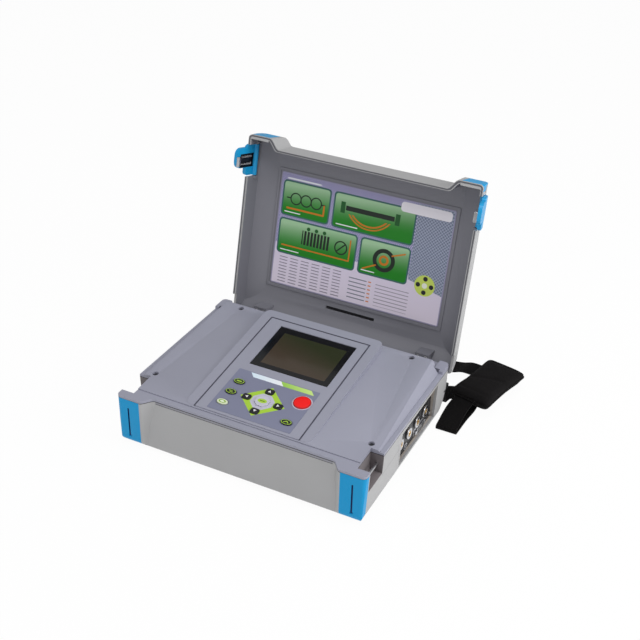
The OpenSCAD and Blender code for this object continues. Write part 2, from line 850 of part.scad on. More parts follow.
// A key: its cap through the plate, and the flange that holds it in
module key(u, v) {
    on_console(u, v, key_low) {
        linear_extrude(height = key_top - key_low) children(0);
        linear_extrude(height = key_flange_t) children(1);
    }
}
module oval_key(u, v) {
    color("yellowgreen") key(u, v) {
        oval_outline(0);
        oval_outline(key_flange);
    }
}
module nav_key(u, v) {
    color("black") key(u, v) {
        nav_outline(0);
        nav_outline(key_flange);
    }
}
module start_key() {
    color("red") key(start_u, start_v) {
        start_outline(0);
        start_outline(key_flange);
    }
}
module enter_key() {
    color("lightgray") key(nav_u, nav_v) {
        enter_outline(0);
        enter_outline(key_flange / 2);
    }
}
module up_key() { nav_key(nav_u, nav_v + nav_rise); }
module down_key() { nav_key(nav_u, nav_v - nav_rise); }
module left_key() { nav_key(nav_u - nav_reach, nav_v); }
module right_key() { nav_key(nav_u + nav_reach, nav_v); }
module rear_oval_key() { oval_key(-key_column, nav_v + key_row); }
module middle_oval_key() { oval_key(-key_column, nav_v); }
module front_oval_key() { oval_key(-key_column, nav_v - key_row); }
module right_oval_key() { oval_key(key_column, nav_v - key_row); }

module key_hole(u, v, w0, w1) { on_console(u, v, w0) linear_extrude(height = w1 - w0) children(); }
module all_key_holes(w0, w1) {
    for (row = [-1, 0, 1]) key_hole(-key_column, nav_v + row * key_row, w0, w1) oval_outline(move_gap);
    key_hole(key_column, nav_v - key_row, w0, w1) oval_outline(move_gap);
    for (side = [-1, 1]) {
        key_hole(nav_u + side * nav_reach, nav_v, w0, w1) nav_outline(move_gap);
        key_hole(nav_u, nav_v + side * nav_rise, w0, w1) nav_outline(move_gap);
    }
    key_hole(nav_u, nav_v, w0, w1) enter_outline(move_gap);
    key_hole(start_u, start_v, w0, w1) start_outline(move_gap);
}

module keypad_overlay() {
    color("slategray") difference() {
        on_console(0, overlay_v, -overlay_drop) linear_extrude(height = overlay_t)
            polygon(round_rect(overlay_w, overlay_l, groove_w));
        all_key_holes(-plate_t, cut);
    }
}

module at_keys() {
    for (row = [-1, 0, 1]) translate([-key_column, nav_v + row * key_row]) children();
    translate([key_column, nav_v - key_row]) children();
    for (side = [-1, 1]) {
        translate([nav_u + side * nav_reach, nav_v]) children();
        translate([nav_u, nav_v + side * nav_rise]) children();
    }
    translate([nav_u, nav_v]) children();
    translate([start_u, start_v]) children();
}

module keypad_mat() {
    color("gray") on_console(0, 0, mat_w - mat_t) {
        translate([0, overlay_v, 0]) linear_extrude(height = mat_t)
            square([2 * (key_post_u - post_r - move_gap), 2 * (key_post_v + post_r)], center = true);
        linear_extrude(height = mat_t + dome_h) at_keys() circle(r = dome_r, $fn = bore_faces);
    }
}

module keypad_board() {
    color("green") on_console(0, 0, key_board_w - board_t) linear_extrude(height = board_t) difference() {
        translate([0, overlay_v]) square([2 * (key_post_u + post_r), 2 * (key_post_v + post_r)],
            center = true);
        at_keypad_posts() circle(r = small_screw_r + seat_gap, $fn = bore_faces);
    }
}

module keypad_screws() {
    color("silver") on_console(0, 0, key_board_w - board_t) at_keypad_posts()
        small_screw(-key_board_w - plate_t);
}

module main_board() {
    color("green") {
        difference() {
            box([main_x - main_w / 2, main_y - main_l / 2, deck_board_z],
                [main_x + main_w / 2, main_y + main_l / 2, deck_board_z + board_t]);
            at_pillars() rod_z(deck_board_z - cut, deck_board_z + board_t + cut, 0, 0,
                small_screw_r + seat_gap);
        }
        for (i = [-1, 0, 1])
            translate([main_x + i * main_w / 4, main_y, deck_board_z + board_t + chip_h / 2])
                cube([chip_l, chip_l, chip_h], center = true);
    }
}

module at_pillars() {
    for (x = [-1, 1], y = [-1, 1])
        translate([main_x + x * (main_w / 2 - pillar_in), main_y + y * (main_l / 2 - pillar_in), 0])
            children();
}

module board_screws() {
    color("silver") at_pillars() translate([0, 0, deck_board_z + board_t]) mirror([0, 0, 1])
        small_screw(board_screw_in + board_t);
}

module battery_pack() {
    color("royalblue") translate([battery_x, 0, wall]) linear_extrude(height = battery_h)
        polygon(round_rect(battery_w, battery_l, corner_r));
}

module battery_clamp() {
    color("silver") difference() {
        union() {
            box([battery_x - battery_w / 2 - clamp_t, -clamp_w / 2, wall],
                [battery_x + battery_w / 2 + clamp_t, clamp_w / 2, wall + battery_h + clamp_t]);
            box([battery_x - battery_w / 2 - clamp_t - clamp_foot, -clamp_w / 2, wall],
                [battery_x + battery_w / 2 + clamp_t + clamp_foot, clamp_w / 2, wall + clamp_t]);
        }
        box([battery_x - battery_w / 2, -clamp_w, wall - cut],
            [battery_x + battery_w / 2, clamp_w, wall + battery_h]);
    }
}

module current_module() {
    color("dimgray") {
        box([module_x - module_w / 2, -module_l / 2, wall],
            [module_x + module_w / 2, module_l / 2, wall + module_h]);
        for (i = [0:fin_count - 1])
            translate([module_x - module_w / 2 + i * (module_w - fin_t) / (fin_count - 1), -module_l / 2,
                wall + module_h]) cube([fin_t, module_l, fin_h]);
    }
}

module connector_tray() {
    color("darkgray") difference() {
        intersection() {
            box([panel_back - tray_t, port_y0 - tray_lap, port_z0 - tray_lap],
                [case_w / 2, port_y0 + port_l + tray_lap, port_z1 + port_rise + tray_lap]);
            case_block(wall + seat_gap, seam_z);
        }
        intersection() {
            box([panel_back, port_y0, port_z0], [case_w, port_y0 + port_l, seam_z]);
            port_opening();
        }
        socket_places() rotate([0, 90, 0])
            cylinder(h = case_w, r = sleeve_r + seat_gap, center = true, $fn = bore_faces);
    }
}

module socket_places() {
    for (i = [0:3]) translate([panel_face, socket_y0 + i * socket_pitch, socket_z]) children();
}

module connector_panel() {
    color("black") difference() {
        box([panel_back, port_y0 + panel_gap, port_z0 + panel_gap],
            [panel_face, port_y0 + port_l - panel_gap, port_z0 + panel_h]);
        socket_places() rotate([0, 90, 0])
            cylinder(h = case_w, r = sleeve_r + seat_gap, center = true, $fn = bore_faces);
        box([panel_face - data_deep - seat_gap, data_y - data_w / 2 - seat_gap,
            data_z - data_h / 2 - seat_gap],
            [panel_face + cut, data_y + data_w / 2 + seat_gap, data_z + data_h / 2 + seat_gap]);
        rod_x(panel_back - cut, panel_face + cut, charge_y, data_z, charge_r + seat_gap);
        for (y = panel_screw_rows) rod_x(panel_back - cut, panel_face + cut, y, data_z,
            small_screw_r + seat_gap);
    }
}

module panel_screws() {
    color("silver") for (y = panel_screw_rows) translate([panel_face, y, data_z]) rotate([0, -90, 0])
        small_screw(panel_t);
}

module socket_sleeves() {
    color("gold") difference() {
        socket_places() rotate([0, 90, 0]) translate([0, 0, collar_h - sleeve_l])
            cylinder(h = sleeve_l, r = sleeve_r, $fn = bore_faces);
        socket_places() rotate([0, 90, 0]) translate([0, 0, collar_h - socket_deep])
            cylinder(h = socket_deep + cut, r = socket_r, $fn = bore_faces);
    }
}

module socket_collars() {
    color("silver") difference() {
        socket_places() rotate([0, 90, 0]) cylinder(h = collar_h, r = collar_r, $fn = bore_faces);
        socket_places() rotate([0, 90, 0]) translate([0, 0, -cut])
            cylinder(h = collar_h + 2 * cut, r = sleeve_r + seat_gap, $fn = bore_faces);
    }
}

module data_port() {
    color("silver") {
        box([panel_face - data_deep, data_y - data_w / 2, data_z - data_h / 2],
            [panel_face, data_y + data_w / 2, data_z + data_h / 2]);
        box([panel_face, data_y - data_w / 2 + data_h / 2, data_z - data_h / 2 + data_out / 2],
            [panel_face + data_out, data_y + data_w / 2 - data_h / 2, data_z + data_h / 2 - data_out / 2]);
        for (side = [-1, 1]) rod_x(panel_face, panel_face + data_out,
            data_y + side * (data_w - data_h / 2) / 2, data_z, jack_r);
    }
}

module charge_socket() {
    color("dimgray") {
        difference() {
            rod_x(panel_back, panel_face + data_out / 2, charge_y, data_z, charge_r);
            rod_x(panel_back + data_out, panel_face + data_out, charge_y, data_z, charge_r - cut);
        }
        rod_x(panel_back, panel_face, charge_y, data_z, charge_pin_r);
    }
}

module strap_bars() {
    color("dimgray") pair() {
        rod_x(bar_x0, bar_x1, bar_y, bar_z, bar_r);
        for (x = [bar_x0, bar_x1 - cheek_w]) strap_cheek(x, 0);
    }
}

module strap_cheek(x, grow) {
    for (y = [bar_y, cheek_y]) rod_x(x - grow, x + cheek_w + grow, y, bar_z, cheek_r + grow);
    box([x - grow, cheek_y, bar_z - cheek_r - grow], [x + cheek_w + grow, bar_y, bar_z + cheek_r + grow]);
}

// Webbing swept along rows of [point, side]: side is where its thickness goes from the point
function unit(v) = v / norm(v);
function heading(path, i) = unit(path[min(i + 1, len(path) - 1)][0] - path[max(i - 1, 0)][0]);
function webbing_row(p, side, ahead) = let (across = unit(cross(side, ahead)),
    into = unit(cross(ahead, across)))
    [for (k = [[-1, 0], [1, 0], [1, 1], [-1,
        1]]) p + across * (k.x * webbing_w / 2) + into * (k.y * webbing_t)];

module webbing(path) {
    n = len(path);
    points = [for (i = [0:n - 1]) each webbing_row(path[i][0], path[i][1], heading(path, i))];
    sides = [for (i = [0:n - 2], j = [0:3]) let (a = 4 * i + j,
        b = 4 * i + (j + 1) % 4) each [[a, b + 4, b], [a, a + 4, b + 4]]];
    ends = [[0, 1, 2], [0, 2, 3], [4 * n - 2, 4 * n - 3, 4 * n - 4], [4 * n - 1, 4 * n - 2, 4 * n - 4]];
    polyhedron(points = points, faces = concat(sides, ends));
}

function wrapped(x) = [for (i = [0:wrap_steps]) let (a = wrap_start * (1 - i / wrap_steps),
    r = bar_r + webbing_gap + webbing_t)
    [[x, bar_y + r * cos(a), bar_z + r * sin(a)], [0, -cos(a), -sin(a)]]];
function placed(x, route) = [for (p = route) [[x + p[0].x * strap_run, bar_y + p[0].y * strap_run,
    bench + p[0].z * strap_run], p[1]]];
function laid_at(x, route) = [for (p = route) [[x + p.x * strap_run, bar_y + p.y * strap_run,
    laid + p.z * strap_run], down]];
function pad_place(x, y, z) = [
    pad_x + x * cos(pad_turn) - y * sin(pad_turn), pad_y + x * sin(pad_turn) + y * cos(pad_turn),
        bench + z];

right_folded = [for (i = [0:fold_steps]) let (a = 180 * i / fold_steps) [
    [bar_mid + fold_x_share * strap_run, bar_y - fold_y_share * strap_run - fold_r * sin(a),
        laid + fold_r * (1 - cos(a))],
    [0, -sin(a), -cos(a)]]];
right_end = [
    [pad_place(-right_end_in, -pad_l / 2 - right_end_lead, pad_h / 3), -down],
    [pad_place(-right_end_in, -pad_l / 2 - 2 * webbing_gap, pad_h / 2 + webbing_t), -down]];
left_end = [
    [pad_place(-pad_w / 2 - left_end_lead, pad_l / 2 - left_end_in, pad_h / 2 - webbing_t), down],
    [pad_place(-pad_w / 2 - 2 * webbing_gap, pad_l / 2 - left_end_in, pad_h / 2), down]];

module strap_webbing_right() {
    color("black") webbing(concat(wrapped(bar_mid), placed(bar_mid, drop_route_shares),
        laid_at(bar_mid, right_route_shares), right_folded, right_end));
}
module strap_webbing_left() {
    color("black") webbing(concat(wrapped(-bar_mid), placed(-bar_mid, drop_route_shares),
        laid_at(-bar_mid, left_start_shares), laid_at(bar_mid, left_finish_shares), left_end));
}

// A padded sleeve: crowned along and across, drawn in at the waist, with a sewn channel near each end
function pad_draw(t) = 1 - pad_draw_share * sin(180 * t);
function pad_sewn(i) = (i == 2 || i == pad_rings - 2) ? 1 - pad_channel_share : 1;
function pad_crown(i) = let (t = pad_end_share + (1 - 2 * pad_end_share) * i / pad_rings)
    pad_sewn(i) * pow(sin(180 * t), pad_share);
function pad_power(v) = sign(v) * pow(abs(v), pad_share);

module strap_pad() {
    points = [for (i = [0:pad_rings], j = [0:pad_sides - 1]) let (t = i / pad_rings,
        a = 360 * j / pad_sides)
        [pad_w / 2 * pad_draw(t) * pad_power(cos(a)), pad_l * (t - 1 / 2),
            pad_h / 2 * (1 + pad_crown(i) * pad_power(sin(a)))]];
    n = pad_sides;
    sides = [for (i = [0:pad_rings - 1], j = [0:n - 1]) let (a = n * i + j,
        b = n * i + (j + 1) % n) each [[a, b, b + n], [a, b + n, a + n]]];
    start = [for (j = [1:n - 2]) [0, j + 1, j]];
    finish = [for (j = [1:n - 2]) [n * pad_rings, n * pad_rings + j, n * pad_rings + j + 1]];
    color("black") intersection() {
        translate([pad_x, pad_y, bench + webbing_t + 2 * webbing_gap]) rotate([-pad_tilt, 0, pad_turn])
            polyhedron(points = points, faces = concat(sides, start, finish));
        translate([0, 0, bench]) cube([4 * pad_x, 4 * pad_y, 2 * pad_h]);
    }
}

module lid_block(i, low, top, fold_w, fold_drop) {
    intersection() {
        translate([0, 0, low]) linear_extrude(height = top - low) polygon(mirrored(plan_half(lid_w, i)));
        along_x(case_w) polygon(lid_side(i, low, top));
        along_y(case_d) polygon(lid_end(i, low, top, fold_w, fold_drop));
    }
}

module latch_window() {
    box([lid_w / 2 - lid_wall - ear_x, latch_y0 - (window_cut_l - latch_l) / 2, lid_z0 - 2 * cut],
        [case_w, latch_y0 + window_cut_l - (window_cut_l - latch_l) / 2,
            latch_pivot_z + latch_top + move_gap]);
}

module latch_ears() {
    y0 = latch_y0 - (window_cut_l - latch_l) / 2;
    for (y = [y0 - ear_w, y0 + window_cut_l])
        box([lid_w / 2 - lid_wall - ear_x, y, latch_pivot_z - latch_top],
            [lid_w / 2 - cut, y + ear_w, latch_pivot_z + latch_top]);
}

module lid_shell() {
    color("silver") swung_open() difference() {
        union() {
            difference() {
                lid_block(0, lid_z0, lid_top, lid_fold_w, lid_fold_drop);
                lid_block(lid_wall, lid_z0 - cut, lid_floor, lid_inner_fold_w, lid_inner_fold_drop);
            }
            intersection() {
                lid_block(0, lid_z0, lid_top, lid_fold_w, lid_fold_drop);
                union() {
                    pair() box([hinge_x - hinge_arm_w / 2, arm_front, arm_plate_z + arm_plate_t],
                        [hinge_x + hinge_arm_w / 2, case_d / 2, lid_top]);
                    pair() latch_ears();
                    pair() box([horn_x, -case_d / 2, lid_z0],
                        [lid_w / 2, -case_d / 2 + bumper_t + lid_wall, lid_top]);
                    translate([0, 0, lid_floor - frame_h]) linear_extrude(height = frame_h + cut)
                        difference() {
                        polygon(round_rect(label_w + 2 * (frame_gap + frame_w),
                            label_l + 2 * (frame_gap + frame_w), frame_w));
                        polygon(round_rect(label_w + 2 * frame_gap, label_l + 2 * frame_gap, frame_w));
                    }
                }
            }
        }
        pair() latch_window();
        pair() rod_y(latch_y0 - ear_w - 3 * cut, latch_y0 + latch_l + ear_w + 3 * cut, latch_pivot_x,
            latch_pivot_z, latch_pin_r + pin_gap);
        pair() bumper_space(lid_w, lid_z0 + bumper_t, lid_top - lid_edge_r + bumper_t, bumper_t + seat_gap);
        pair() box([case_w / 2 - relief_x - relief_gap, case_d / 2 - relief_y - relief_swing,
            lid_z0 - cut], [case_w, case_d, case_h + corner_h + relief_gap]);
        translate([-slot_l / 2, slot_y - slot_w / 2, lid_floor - slot_deep])
            cube([slot_l, slot_w, 2 * slot_deep - cut]);
        pair() for (x = [-1, 1]) rod_z(arm_plate_z + arm_plate_t - cut, arm_plate_z + 3 * arm_plate_t,
            hinge_x + x * arm_screw_x, arm_screw_y, small_screw_r + pin_gap);
        gasket_ring(seat_gap);
    }
}

module gasket_ring(grow) {
    translate([0, 0, case_h + gasket_stand - grow]) linear_extrude(height = gasket_h + 2 * grow)
        difference() {
        polygon(mirrored(plan_half(lid_w, gasket_in - grow)));
        polygon(mirrored(plan_half(lid_w, gasket_in + gasket_w + grow)));
    }
}

module lid_gasket() {
    color("dimgray") swung_open() difference() {
        gasket_ring(0);
        pair() latch_window();
        pair() box([case_w / 2 - relief_x - relief_gap, case_d / 2 - relief_y - relief_swing, 0],
            [case_w, case_d, lid_top]);
    }
}

module lid_bumper() {
    color("deepskyblue") swung_open() intersection() {
        bumper_space(lid_w, lid_z0 + bumper_t + seat_gap, lid_top - lid_edge_r + bumper_t - seat_gap,
            bumper_t);
        lid_block(0, lid_z0, lid_top, lid_fold_w, lid_fold_drop);
    }
}
module lid_bumper_right() { lid_bumper(); }
module lid_bumper_left() { mirror([1, 0, 0]) lid_bumper(); }

module lid_label() {
    color("white") swung_open() translate([0, 0, lid_floor - label_t]) linear_extrude(height = label_t)
        polygon(round_rect(label_w, label_l, frame_w));
}

module hinge_arm() {
    x0 = hinge_x - hinge_arm_w / 2;
    x1 = hinge_x + hinge_arm_w / 2;
    color("gray") swung_open() difference() {
        union() {
            box([x0, arm_front, arm_plate_z], [x1, arm_rear, arm_plate_z + arm_plate_t]);
            box([x0, arm_rear - arm_t, hinge_z], [x1, arm_rear, arm_plate_z + arm_plate_t]);
            rod_x(x0, x1, hinge_y, hinge_z, knuckle_r);
        }
        rod_x(x0 - cut, x1 + cut, hinge_y, hinge_z, hinge_pin_r + pin_gap);
        for (x = [-1, 1]) rod_z(arm_plate_z - cut, arm_plate_z + arm_plate_t + cut,
            hinge_x + x * arm_screw_x, arm_screw_y, small_screw_r + seat_gap);
    }
}
module hinge_arm_right() { hinge_arm(); }
module hinge_arm_left() { mirror([1, 0, 0]) hinge_arm(); }

module hinge_arm_screws() {
    color("silver") swung_open() pair() for (x = [-1, 1])
        translate([hinge_x + x * arm_screw_x, arm_screw_y, arm_plate_z]) small_screw(3 * arm_plate_t - cut);
}

module latch_pins() {
    color("silver") swung_open() pair() rod_y(latch_y0 - ear_w, latch_y0 + latch_l + ear_w, latch_pivot_x,
        latch_pivot_z, latch_pin_r);
}

module latch() {
    tongue_y0 = latch_y0 + tongue_inset;
    color("deepskyblue") swung_open() latch_released() difference() {
        union() {
            box([latch_out - latch_t, latch_y0, lid_z0], [latch_out, latch_y0 + latch_l, latch_pivot_z]);
            box([latch_out - latch_t, tongue_y0, case_h - latch_drop],
                [latch_out, pocket_y0 + pocket_l - tongue_inset, lid_z0]);
            rod_y(latch_y0, latch_y0 + latch_l, latch_pivot_x, latch_pivot_z, latch_top);
        }
        rod_y(latch_y0 - cut, latch_y0 + latch_l + cut, latch_pivot_x, latch_pivot_z,
            latch_pin_r + pin_gap);
        box([latch_out - latch_t - cut, latch_y0 + (latch_l - latch_slot_l) / 2, lid_z0 - latch_slot_h],
            [latch_out - hook_t, latch_y0 + (latch_l + latch_slot_l) / 2, latch_pivot_z - latch_top]);
    }
}
module latch_right() { latch(); }
module latch_left() { mirror([1, 0, 0]) latch(); }

module latch_hook() {
    y0 = latch_y0 + (latch_l - hook_w) / 2;
    x1 = latch_out - latch_t;
    color("silver") swung_open() latch_released() {
        box([x1 - hook_t, y0, case_h - latch_drop], [x1, y0 + hook_w, lid_z0 - latch_slot_h]);
        box([x1 - hook_lip - hook_t, y0, case_h - latch_drop],
            [x1 - hook_t, y0 + hook_w, case_h - latch_drop + hook_lip_t]);
    }
}
module latch_hook_right() { latch_hook(); }
module latch_hook_left() { mirror([1, 0, 0]) latch_hook(); }

lower_case();
case_bezel();
front_trim_strip();
faceplate();
faceplate_screws();
case_bumper_left();
case_bumper_right();
feet();
latch_keepers();
hinge_pins();
display_window();
display_module();
display_board();
display_screws();
keypad_overlay();
keypad_mat();
keypad_board();
keypad_screws();
start_key();
enter_key();
up_key();
down_key();
left_key();
right_key();
rear_oval_key();
middle_oval_key();
front_oval_key();
right_oval_key();
main_board();
board_screws();
battery_pack();
battery_clamp();
current_module();
connector_tray();
connector_panel();
panel_screws();
socket_sleeves();
socket_collars();
data_port();
charge_socket();
strap_bars();
strap_webbing_right();
strap_webbing_left();
strap_pad();
lid_shell();
lid_bumper_left();
lid_bumper_right();
lid_label();
lid_gasket();
hinge_arm_left();
hinge_arm_right();
hinge_arm_screws();
latch_pins();
latch_left();
latch_right();
latch_hook_left();
latch_hook_right();
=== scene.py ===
"""A portable micro ohmmeter in its lidded carrying case, dressed for the studio. Lengths are
in metres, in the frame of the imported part: +X to the user's right, +Y to the rear, +Z up.
Places in the finishes and on the strap's route are in millimetres."""

import math

import bmesh
import bpy
from mathutils import Matrix, Vector


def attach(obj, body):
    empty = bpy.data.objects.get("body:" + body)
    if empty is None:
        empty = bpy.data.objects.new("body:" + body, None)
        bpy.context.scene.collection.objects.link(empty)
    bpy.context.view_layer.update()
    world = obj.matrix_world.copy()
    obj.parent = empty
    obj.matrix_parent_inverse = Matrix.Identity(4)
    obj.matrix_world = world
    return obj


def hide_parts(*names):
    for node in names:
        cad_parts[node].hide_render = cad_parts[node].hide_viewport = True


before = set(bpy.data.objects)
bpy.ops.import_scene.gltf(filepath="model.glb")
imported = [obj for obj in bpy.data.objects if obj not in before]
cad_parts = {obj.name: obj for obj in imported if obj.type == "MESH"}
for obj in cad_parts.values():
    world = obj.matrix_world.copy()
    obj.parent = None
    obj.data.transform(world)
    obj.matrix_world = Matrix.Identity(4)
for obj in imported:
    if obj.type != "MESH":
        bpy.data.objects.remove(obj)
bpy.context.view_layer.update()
mm = 0.001

# The camera stands at the photograph's place: to the right of the case's front, and above it.
# Its distance and focal length come from how the case's straight edges draw together.
view_azimuth = math.radians(26.04)
view_elevation = math.radians(31.72)
view_roll = math.radians(1.49)
view_distance = 1.298
view_side_shift = 38.71 * mm
view_up_shift = 123.4 * mm
bench_z = -4 * mm
photo_side = 640
focal_pixels = 1118.88

back = Vector((math.sin(view_azimuth) * math.cos(view_elevation),
               -math.cos(view_azimuth) * math.cos(view_elevation), math.sin(view_elevation)))
level = (-back).cross(Vector((0, 0, 1))).normalized()
rise = level.cross(-back)
side = level * math.cos(view_roll) + rise * math.sin(view_roll)
top = rise * math.cos(view_roll) - level * math.sin(view_roll)
camera = bpy.data.objects.new("camera", bpy.data.cameras.new("camera"))
camera.data.sensor_width = 36
camera.data.lens = focal_pixels / photo_side * camera.data.sensor_width
camera.data.clip_start = 0.05
camera.matrix_world = Matrix((side, top, back)).transposed().to_4x4()
camera.matrix_world.translation = (side * view_side_shift + top * view_up_shift
                                   + back * view_distance + Vector((0, 0, bench_z)))
bpy.context.scene.collection.objects.link(camera)
bpy.context.scene.camera = camera

# The bench is a plain pale sheet, larger than the view, which the camera sees as nearly white.
# Lamps and sky light the case softly, most strongly from its right, as in the photograph.


class Value:
    """One value among a tree's nodes. Python's operators on it add Math nodes."""

    def __init__(self, nodes, socket):
        self.nodes = nodes
        self.socket = socket

    def math(self, operation, *parts):
        return self.nodes.node("ShaderNodeMath", {"operation": operation}, parts)

    def __add__(self, other): return self.math("ADD", self, other)
    def __radd__(self, other): return self.math("ADD", other, self)
    def __sub__(self, other): return self.math("SUBTRACT", self, other)
    def __rsub__(self, other): return self.math("SUBTRACT", other, self)
    def __mul__(self, other): return self.math("MULTIPLY", self, other)
    def __rmul__(self, other): return self.math("MULTIPLY", other, self)
    def __truediv__(self, other): return self.math("DIVIDE", self, other)
    def __gt__(self, other): return self.math("GREATER_THAN", self, other)
    def __lt__(self, other): return self.math("LESS_THAN", self, other)
    def __abs__(self): return self.math("ABSOLUTE", self)
    def __mod__(self, other): return self.math("FLOORED_MODULO", self, other)
    def sine(self): return self.math("SINE", self)
    def from_zero(self): return self.math("MAXIMUM", self, 0.0)
    def clamp(self): return self.math("MINIMUM", self.from_zero(), 1.0)


class Nodes:
    """A node tree. Its node method adds a node: settings, sockets by number, sockets by name."""

    def __init__(self, tree):
        self.tree = tree

    def put(self, socket, value):
        if isinstance(value, Value):
            self.tree.links.new(value.socket, socket)
        elif socket.type == "RGBA" and len(value) == 3:
            socket.default_value = (*value, 1.0)
        else:
            socket.default_value = value

    def node(self, kind, settings, values=(), out=0, **named):
        made = self.tree.nodes.new(kind)
        for key, value in settings.items():
            setattr(made, key, value)
        for key, value in values.items() if isinstance(values, dict) else enumerate(values):
            self.put(made.inputs[key], value)
        for key, value in named.items():
            self.put(made.inputs[key.replace("_", " ")], value)
        return Value(self, made.outputs[out])


class Finish(Nodes):
    """A material with one Principled shader."""

    def __init__(self, name, **plain):
        self.material = bpy.data.materials.new(name)
        self.material.use_nodes = True
        super().__init__(self.material.node_tree)
        self.shader = self.tree.nodes["Principled BSDF"]
        for socket, value in plain.items():
            self.shader.inputs[socket.replace("_", " ")].default_value = value

    def place(self):
        return self.node("ShaderNodeTexCoord", {}, out="Object")

    def mapped(self, move=(0, 0, 0), turn=(0, 0, 0)):
        """The three parts of the place in millimetres, first turned and then moved."""
        return self.axes(self.node("ShaderNodeMapping", {"vector_type": "POINT"},
                                   Vector=self.place(), Scale=(1 / mm, 1 / mm, 1 / mm),
                                   Rotation=turn, Location=move))

    def axes(self, place):
        parts = self.node("ShaderNodeSeparateXYZ", {}, (place,)).socket.node
        return [Value(self, socket) for socket in parts.outputs]

    def noise(self, place, scale, detail=2.0):
        return self.node("ShaderNodeTexNoise", {}, Vector=place, Scale=scale, Detail=detail)

    def mix(self, factor, first, second):
        return self.node("ShaderNodeMix", {"data_type": "RGBA"}, {0: factor, 6: first, 7: second},
                         out=2)

    def bump(self, height, depth, strength=1.0):
        made = self.node("ShaderNodeBump", {}, Height=height, Distance=depth, Strength=strength)
        self.put(self.shader.inputs["Normal"], made)

    def colour(self, value): self.put(self.shader.inputs["Base Color"], value)
    def rough(self, value): self.put(self.shader.inputs["Roughness"], value)


bench_half = 3.0
bench_glow = 0.96
sky_level = 0.42
white = (1, 1, 1)

bench_mesh = bpy.data.meshes.new("bench")
bm = bmesh.new()
bmesh.ops.create_grid(bm, x_segments=2, y_segments=2, size=bench_half)
bmesh.ops.translate(bm, verts=bm.verts, vec=(0, 0, bench_z))
bm.to_mesh(bench_mesh)
bm.free()
bench = bpy.data.objects.new("bench", bench_mesh)
bpy.context.scene.collection.objects.link(bench)
sheet_white = Finish("bench_white", Base_Color=(0.9, 0.9, 0.9, 1), Roughness=0.9)
seen = (sheet_white.node("ShaderNodeLightPath", {}, out="Is Camera Ray")
        + sheet_white.node("ShaderNodeLightPath", {}, out="Is Glossy Ray"))
plain = Value(sheet_white, sheet_white.shader.outputs[0])
glow = sheet_white.node("ShaderNodeEmission", {}, Color=white)
surface = sheet_white.node("ShaderNodeMixShader", {}, ((seen * bench_glow).clamp(), plain, glow))
sheet_white.put(sheet_white.tree.nodes["Material Output"].inputs["Surface"], surface)
bench_mesh.materials.append(sheet_white.material)

world = bpy.data.worlds.new("studio")
world.use_nodes = True
bpy.context.scene.world = world
sky = Nodes(world.node_tree)
seen = (sky.node("ShaderNodeLightPath", {}, out="Is Camera Ray")
        + sky.node("ShaderNodeLightPath", {}, out="Is Transmission Ray"))
background = world.node_tree.nodes["Background"]
sky.put(background.inputs["Color"], white)
sky.put(background.inputs["Strength"],
        sky.node("ShaderNodeMix", {}, {0: seen, 2: sky_level, 3: 1.0}))


def lamp(name, place, aim, size, watts):
    """A round area lamp that points at aim."""
    data = bpy.data.lights.new(name, "AREA")
    data.shape = "DISK"
    data.size = size
    data.energy = watts
    made = bpy.data.objects.new(name, data)
    made.location = place
    made.rotation_euler = (Vector(aim) - Vector(place)).to_track_quat("-Z", "Y").to_euler()
    bpy.context.scene.collection.objects.link(made)


lamp("right_softbox", (1.5, 0.1, 0.7), (0, 0, 0.05), 0.9, 13)
lamp("top_softbox", (0.2, -0.2, 1.6), (0, 0.05, 0), 1.0, 9)
lamp("front_fill", (-0.5, -1.6, 0.5), (0, 0, 0.1), 1.0, 4)
bpy.context.scene.view_settings.view_transform = "Standard"

# The lower case is one deep moulding in light grey plastic with a fine spark texture. Fine
# lines on its right wall show where the mould's slides met. Two pockets take the latches.
case_edge = 0.9 * mm
case_tone = (0.40, 0.40, 0.405)
wall_lines = [((-28, 45), (-20, 4)), ((-69, 33), (-26, 36))]
wall_line_half, wall_line_depth = 0.35, 0.55
right_wall_x = 146
pocket_low, pocket_high, pocket_floor = (135.7, -104.3), (151.2, -69.7), 35.7
seam_z, seam_on_case = 59, 0.5


def painted(red, green, blue):
    """A colour from its values on a screen, from 0 to 255."""
    return tuple((c / 255) ** 2.2 for c in (red, green, blue))


# Near black for the joints between tub, bezel and trim strip: painted shadow in the gaps.
seam_shadow_black = painted(30, 30, 34)


def strokes(a, b, half, *lines):
    """1 where the point (a, b) lies within half of a line, each from its start to its end."""
    found = 0
    for start, end in lines:
        da, db = end[0] - start[0], end[1] - start[1]
        along = (((a - start[0]) * da + (b - start[1]) * db) / (da * da + db * db)).clamp()
        off_a = a - start[0] - along * da
        off_b = b - start[1] - along * db
        found = found + ((off_a * off_a + off_b * off_b) < half * half)
    return found.clamp()


def block(a, b, low, high):
    """1 inside the rectangle from low to high."""
    half_a, half_b = (high[0] - low[0]) / 2, (high[1] - low[1]) / 2
    return (abs(a - (low[0] + half_a)) < half_a) * (abs(b - (low[1] + half_b)) < half_b)


def moulded(name, tone, rough=0.5, grain=1300, depth=0.00003):
    """Moulded plastic or rubber: a fine grain, with slow changes of tone and gloss."""
    darker, paler, gloss_range = 0.94, 1.05, 0.12
    made = Finish(name)
    place = made.place()
    fine = made.noise(place, grain)
    broad = made.noise(place, 14.0, 3.0)
    made.paint = made.mix(broad, [c * darker for c in tone], [min(c * paler, 1) for c in tone])
    made.colour(made.paint)
    made.rough(fine * gloss_range + (rough - gloss_range / 2))
    made.bump(fine, depth, 0.5)
    return made


def soften(shape, edge, segments=3, sharp=32):
    """Rounds the edges where two faces meet at more than the sharp angle."""
    bevel = shape.modifiers.new("edge", "BEVEL")
    bevel.width = edge
    bevel.segments = segments
    bevel.limit_method = "ANGLE"
    bevel.angle_limit = math.radians(sharp)
    bevel.harden_normals = True


